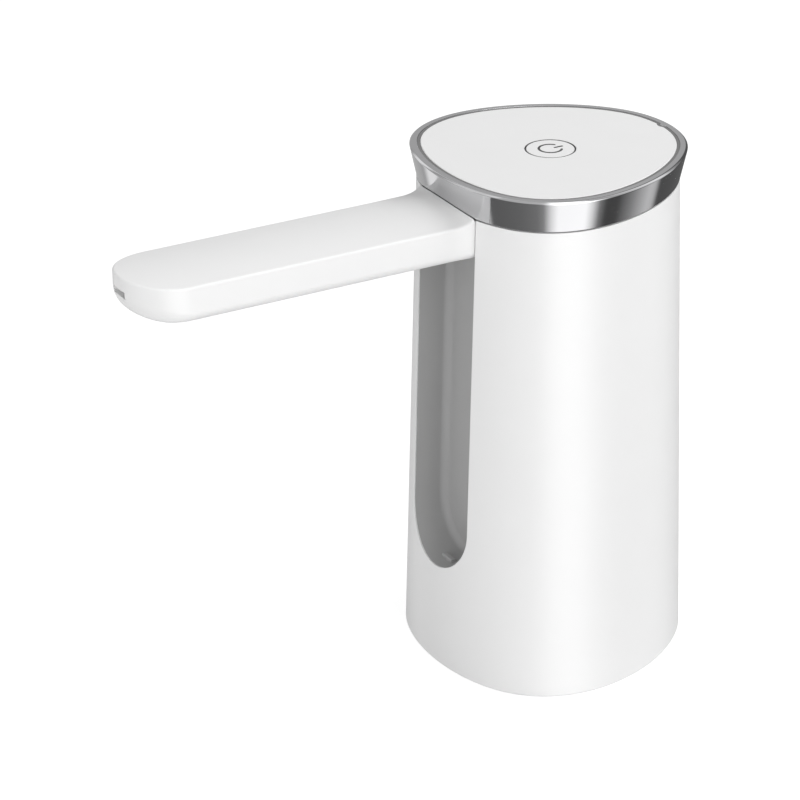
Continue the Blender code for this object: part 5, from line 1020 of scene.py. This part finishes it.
def noise(nodes, links, coords, scale, detail=3.0):
    texture = nodes.new("ShaderNodeTexNoise")
    texture.inputs["Scale"].default_value = scale
    texture.inputs["Detail"].default_value = detail
    links.new(coords, texture.inputs["Vector"])
    return texture.outputs["Fac"]


def spread(nodes, links, value, low, high):
    """Carries a noise value onto a range."""
    ranged = nodes.new("ShaderNodeMapRange")
    ranged.inputs["From Min"].default_value, ranged.inputs["From Max"].default_value = NOISE_SPAN
    ranged.inputs["To Min"].default_value = low
    ranged.inputs["To Max"].default_value = high
    links.new(value, ranged.inputs["Value"])
    return ranged.outputs["Result"]


def surface(name, colour, roughness, metallic=0.0, relief=0.04, mottle=0.012, edge=0.0, **settings):
    """A moulded or plated finish: faint mottling, uneven gloss, fine grain, and softened edges."""
    made, nodes, links = new_material(name)
    coords = nodes.new("ShaderNodeTexCoord").outputs["Object"]
    shader = nodes.new("ShaderNodeBsdfPrincipled")
    output = nodes.new("ShaderNodeOutputMaterial")
    shader.inputs["Metallic"].default_value = metallic
    for socket, value in settings.items():
        shader.inputs[socket.replace("_", " ")].default_value = value
    tint = nodes.new("ShaderNodeMix")
    tint.data_type = "RGBA"
    tint.inputs["A"].default_value = (*[channel * (1 - mottle) for channel in colour], 1)
    tint.inputs["B"].default_value = (*[min(1.0, channel * (1 + mottle)) for channel in colour], 1)
    links.new(noise(nodes, links, coords, MOTTLE_SCALE), tint.inputs["Factor"])
    links.new(tint.outputs["Result"], shader.inputs["Base Color"])
    uneven = noise(nodes, links, coords, GLOSS_SCALE)
    low, high = roughness * (1 - GLOSS_SPREAD), roughness * (1 + GLOSS_SPREAD)
    links.new(spread(nodes, links, uneven, low, high), shader.inputs["Roughness"])
    bump = nodes.new("ShaderNodeBump")
    bump.inputs["Strength"].default_value = relief
    bump.inputs["Distance"].default_value = GRAIN_DEPTH
    links.new(noise(nodes, links, coords, GRAIN_SCALE, 2.0), bump.inputs["Height"])
    if edge:
        bevel = nodes.new("ShaderNodeBevel")
        bevel.samples = BEVEL_SAMPLES
        bevel.inputs["Radius"].default_value = edge
        links.new(bevel.outputs["Normal"], bump.inputs["Normal"])
    links.new(bump.outputs["Normal"], shader.inputs["Normal"])
    links.new(shader.outputs["BSDF"], output.inputs["Surface"])
    return made


def make_materials():
    white = (0.80, 0.80, 0.80)
    return {
        "shell_white": surface("shell_white", white, 0.36, edge=0.2 * MM),
        "lid_white": surface("lid_white", white, 0.34, edge=0.1 * MM),
        "channel_grey": surface("channel_grey", (0.40, 0.40, 0.40), 0.55, relief=0.15, edge=0.2 * MM),
        "ring_chrome": surface("ring_chrome", (0.60, 0.60, 0.61), 0.09, metallic=1.0, relief=0.01),
        "mark_ink": surface("mark_ink", (0.06, 0.06, 0.06), 0.5),
        # Painted shade: the grey of the strip in the gap round the lid
        "gap_shade_grey": surface("gap_shade_grey", (0.17, 0.17, 0.17), 0.6, relief=0.1),
        # Painted shade: near black for the ring in the gap round the button
        "gap_shade_black": surface("gap_shade_black", (0.05, 0.05, 0.05), 0.6, relief=0.1),
        "frame_plastic": surface("frame_plastic", (0.62, 0.62, 0.60), 0.5, relief=0.12),
        "dark_plastic": surface("dark_plastic", (0.06, 0.06, 0.065), 0.45, relief=0.1, mottle=0.08),
        "silicone": surface("silicone", (0.70, 0.69, 0.66), 0.5, relief=0.05, Transmission_Weight=0.25),
        "screw_steel": surface("screw_steel", (0.50, 0.50, 0.51), 0.3, metallic=1.0, relief=0.1),
        "motor_steel": surface("motor_steel", (0.52, 0.52, 0.53), 0.34, metallic=1.0, relief=0.1),
        "copper": surface("copper", (0.66, 0.38, 0.22), 0.35, metallic=1.0, relief=0.2),
        "cell_wrap": surface("cell_wrap", (0.05, 0.22, 0.45), 0.3),
        "board_green": surface("board_green", (0.02, 0.16, 0.08), 0.4),
    }


# Studio


def calculate(nodes, links, operation, first, second):
    """A Math node on two values, each a number or another node's output."""
    made = nodes.new("ShaderNodeMath")
    made.operation = operation
    for socket, value in zip(made.inputs, (first, second)):
        if isinstance(value, float):
            socket.default_value = value
        else:
            links.new(value, socket)
    return made.outputs[0]


def mix_by_view(nodes, links, plain, seen, output):
    """Ends a node tree with one shader for diffuse light, and another for the camera, gloss and glass."""
    rays = nodes.new("ShaderNodeLightPath").outputs
    mirrored = calculate(nodes, links, "MAXIMUM", rays["Is Camera Ray"], rays["Is Glossy Ray"])
    mix = nodes.new("ShaderNodeMixShader")
    sources = (calculate(nodes, links, "MAXIMUM", mirrored, rays["Is Transmission Ray"]), plain, seen)
    for socket, source in zip(mix.inputs, sources):
        links.new(source, socket)
    links.new(mix.outputs[0], nodes.new(output).inputs["Surface"])


def diffuse(nodes, level):
    made = nodes.new("ShaderNodeBsdfDiffuse")
    made.inputs["Color"].default_value = (level, level, level, 1)
    return made.outputs[0]


def background(nodes, strength):
    made = nodes.new("ShaderNodeBackground")
    made.inputs["Color"].default_value = (1, 1, 1, 1)
    made.inputs["Strength"].default_value = strength
    return made.outputs[0]


def make_floor():
    """Pale floor that glows white to the camera, while the object's shadow still falls on it."""
    floor = loft("floor", [circle(FLOOR_RADIUS, z, ROUND_SEGMENTS) for z in (-OVERRUN, 0)])
    made, nodes, links = new_material("floor_white")
    glow = nodes.new("ShaderNodeEmission")
    glow.inputs["Strength"].default_value = FLOOR_GLOW
    seen = nodes.new("ShaderNodeAddShader")
    links.new(diffuse(nodes, FLOOR_SHADE_SHARE), seen.inputs[0])
    links.new(glow.outputs[0], seen.inputs[1])
    mix_by_view(nodes, links, diffuse(nodes, FLOOR_COLOUR), seen.outputs[0], "ShaderNodeOutputMaterial")
    floor.data.materials.append(made)
    floor.visible_glossy = False


def azimuth_levels(nodes, links, turn, bands):
    """A level that follows the azimuth, from stops of azimuth in degrees and level."""
    ramp = nodes.new("ShaderNodeValToRGB")
    stops = sorted((((azimuth - GRADIENT_START) % 360) / 360, level) for azimuth, level in bands)
    ramp.color_ramp.elements.remove(ramp.color_ramp.elements[-1])
    peak = max(level for _, level in stops)
    for number, (share, level) in enumerate(stops):
        stop = ramp.color_ramp.elements[0] if number == 0 else ramp.color_ramp.elements.new(share)
        stop.position = share
        shade = level / peak
        stop.color = (shade, shade, shade, 1)
    links.new(turn, ramp.inputs["Fac"])
    return calculate(nodes, links, "MULTIPLY", ramp.outputs["Color"], float(peak))


def height_window(nodes, links, height, shares):
    """One between a panel's lower and upper edge, fading out past them."""
    low_start, low_end, high_start, high_end = [DOME_RADIUS * share for share in shares]
    ramps = []
    for start, end in ((low_start, low_end), (high_end, high_start)):
        ranged = nodes.new("ShaderNodeMapRange")
        ranged.inputs["From Min"].default_value = start
        ranged.inputs["From Max"].default_value = end
        links.new(height, ranged.inputs["Value"])
        ramps.append(ranged.outputs["Result"])
    return calculate(nodes, links, "MULTIPLY", ramps[0], ramps[1])


def make_reflection_dome():
    """Studio walls that only gloss and plating see: soft grey and dark flags between the lit panels."""
    mesh = bmesh.new()
    rows = ROUND_SEGMENTS // 2
    bmesh.ops.create_uvsphere(mesh, u_segments=ROUND_SEGMENTS, v_segments=rows, radius=DOME_RADIUS)
    dome = finish("reflection_dome", mesh)
    made, nodes, links = new_material("studio_walls")
    coords = nodes.new("ShaderNodeTexCoord").outputs["Object"]
    turn = nodes.new("ShaderNodeTexGradient")
    turn.gradient_type = "RADIAL"
    links.new(coords, turn.inputs["Vector"])
    level = azimuth_levels(nodes, links, turn.outputs["Fac"], BANDS)
    height = nodes.new("ShaderNodeSeparateXYZ")
    links.new(coords, height.inputs["Vector"])
    for stops, strength, shares in PANELS:
        panel = azimuth_levels(nodes, links, turn.outputs["Fac"], stops)
        window = height_window(nodes, links, height.outputs["Z"], shares)
        shape = calculate(nodes, links, "MULTIPLY", panel, window)
        level = calculate(nodes, links, "ADD", level, calculate(nodes, links, "MULTIPLY", shape, strength))
    glow = nodes.new("ShaderNodeEmission")
    links.new(level, glow.inputs["Strength"])
    output = nodes.new("ShaderNodeOutputMaterial")
    links.new(glow.outputs[0], output.inputs["Surface"])
    made.cycles.emission_sampling = "NONE"
    dome.data.materials.append(made)
    dome.visible_camera = False
    dome.visible_diffuse = False
    dome.visible_transmission = False
    dome.visible_shadow = False


def make_world():
    world = bpy.data.worlds.new("studio")
    bpy.context.scene.world = world
    world.use_nodes = True
    nodes = world.node_tree.nodes
    nodes.clear()
    ambient = background(nodes, AMBIENT_LEVEL)
    white = background(nodes, BACKDROP_WHITE)
    mix_by_view(nodes, world.node_tree.links, ambient, white, "ShaderNodeOutputWorld")


def make_lamps():
    for name, azimuth, elevation, distance, width, height, power, in_gloss in LAMPS:
        data = bpy.data.lights.new(name, "AREA")
        data.shape = "RECTANGLE"
        data.size = width
        data.size_y = height
        data.energy = power
        lamp = bpy.data.objects.new(name, data)
        bpy.context.scene.collection.objects.link(lamp)
        a = math.radians(azimuth)
        e = math.radians(elevation)
        toward = Vector((math.sin(a) * math.cos(e), -math.cos(a) * math.cos(e), math.sin(e)))
        lamp.visible_glossy = in_gloss
        lamp.location = LAMP_TARGET + toward * distance
        lamp.rotation_euler = toward.to_track_quat("Z", "Y").to_euler()


def make_camera():
    data = bpy.data.cameras.new("camera")
    data.lens = CAMERA_LENS
    data.sensor_width = CAMERA_SENSOR
    camera = bpy.data.objects.new("camera", data)
    bpy.context.scene.collection.objects.link(camera)
    turn = Matrix((CAMERA_RIGHT, CAMERA_UP, CAMERA_BACK)).transposed().to_4x4()
    camera.matrix_world = Matrix.Translation(CAMERA_PLACE) @ turn
    bpy.context.scene.camera = camera


# Pieces


def smooth(piece):
    piece.data.shade_smooth()
    piece.data.set_sharp_from_angle(angle=SMOOTH_ANGLE)


def place(piece, body, slot, materials, *nodes, material=None):
    """Puts a finished skin on its body, in the place of the nodes it stands for."""
    smooth(piece)
    weigh = piece.modifiers.new("even_normals", "WEIGHTED_NORMAL")
    weigh.keep_sharp = True
    piece.data.materials.clear()
    piece.data.materials.append(materials[material or slot])
    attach(piece, body)
    if nodes:
        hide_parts(*nodes)


def dress_nodes(frame, materials):
    """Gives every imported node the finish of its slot."""
    for row in frame["record"]["subparts"]:
        node = frame["nodes"][row["node"]]
        node.data.materials.clear()
        node.data.materials.append(materials[row["material_slot"]])
        smooth(node)


def main():
    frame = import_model()
    make_camera()
    make_world()
    make_lamps()
    make_floor()
    make_reflection_dome()
    materials = make_materials()
    dress_nodes(frame, materials)
    place(make_shell_skin(), "housing", "shell_white", materials, "outer_shell")
    place(make_channel_skin(), "housing", "channel_grey", materials, "groove_liner")
    place(make_ring_skin(), "housing", "ring_chrome", materials, "trim_ring")
    place(make_panel_skin(), "housing", "lid_white", materials, "top_panel")
    # Grey strip of painted shade in the gap round the lid
    place(make_trench_shade_strip(), "housing", "dark_plastic", materials, material="gap_shade_grey")
    # Near-black ring of painted shade in the gap round the button
    place(make_button_gap_shade(), "housing", "dark_plastic", materials, material="gap_shade_black")
    place(make_button_skin(), "button", "lid_white", materials, "power_button")
    place(make_button_mark(), "button", "dark_plastic", materials, material="mark_ink")
    place(make_arm_skin(), "spout_arm", "shell_white", materials, "arm_body")
    place(make_arm_base_skin(), "spout_arm", "shell_white", materials, "arm_base")
    place(make_nozzle_skin(), "spout_arm", "dark_plastic", materials, "outlet_nozzle")
    place(make_neck_socket_skin(), "housing", "frame_plastic", materials, "neck_socket")
    place(make_gasket_skin(), "housing", "silicone", materials, "neck_gasket")
    place(make_barb_skin(), "housing", "dark_plastic", materials, "inlet_barb")
    for number, seat in enumerate(around(SOCKET_SCREW_PLACE, 3, SOCKET_SCREW_TURN), 1):
        screw = make_screw_skin(f"socket_screw_skin_{number}", seat)
        place(screw, "housing", "screw_steel", materials, f"socket_screw_{number}")
    place(make_port_shell(), "housing", "screw_steel", materials, "charging_socket")
    place(make_port_tongue(), "housing", "dark_plastic", materials)
    place(make_port_contacts(), "housing", "copper", materials)
    bpy.context.scene.view_settings.view_transform = "Standard"


main()
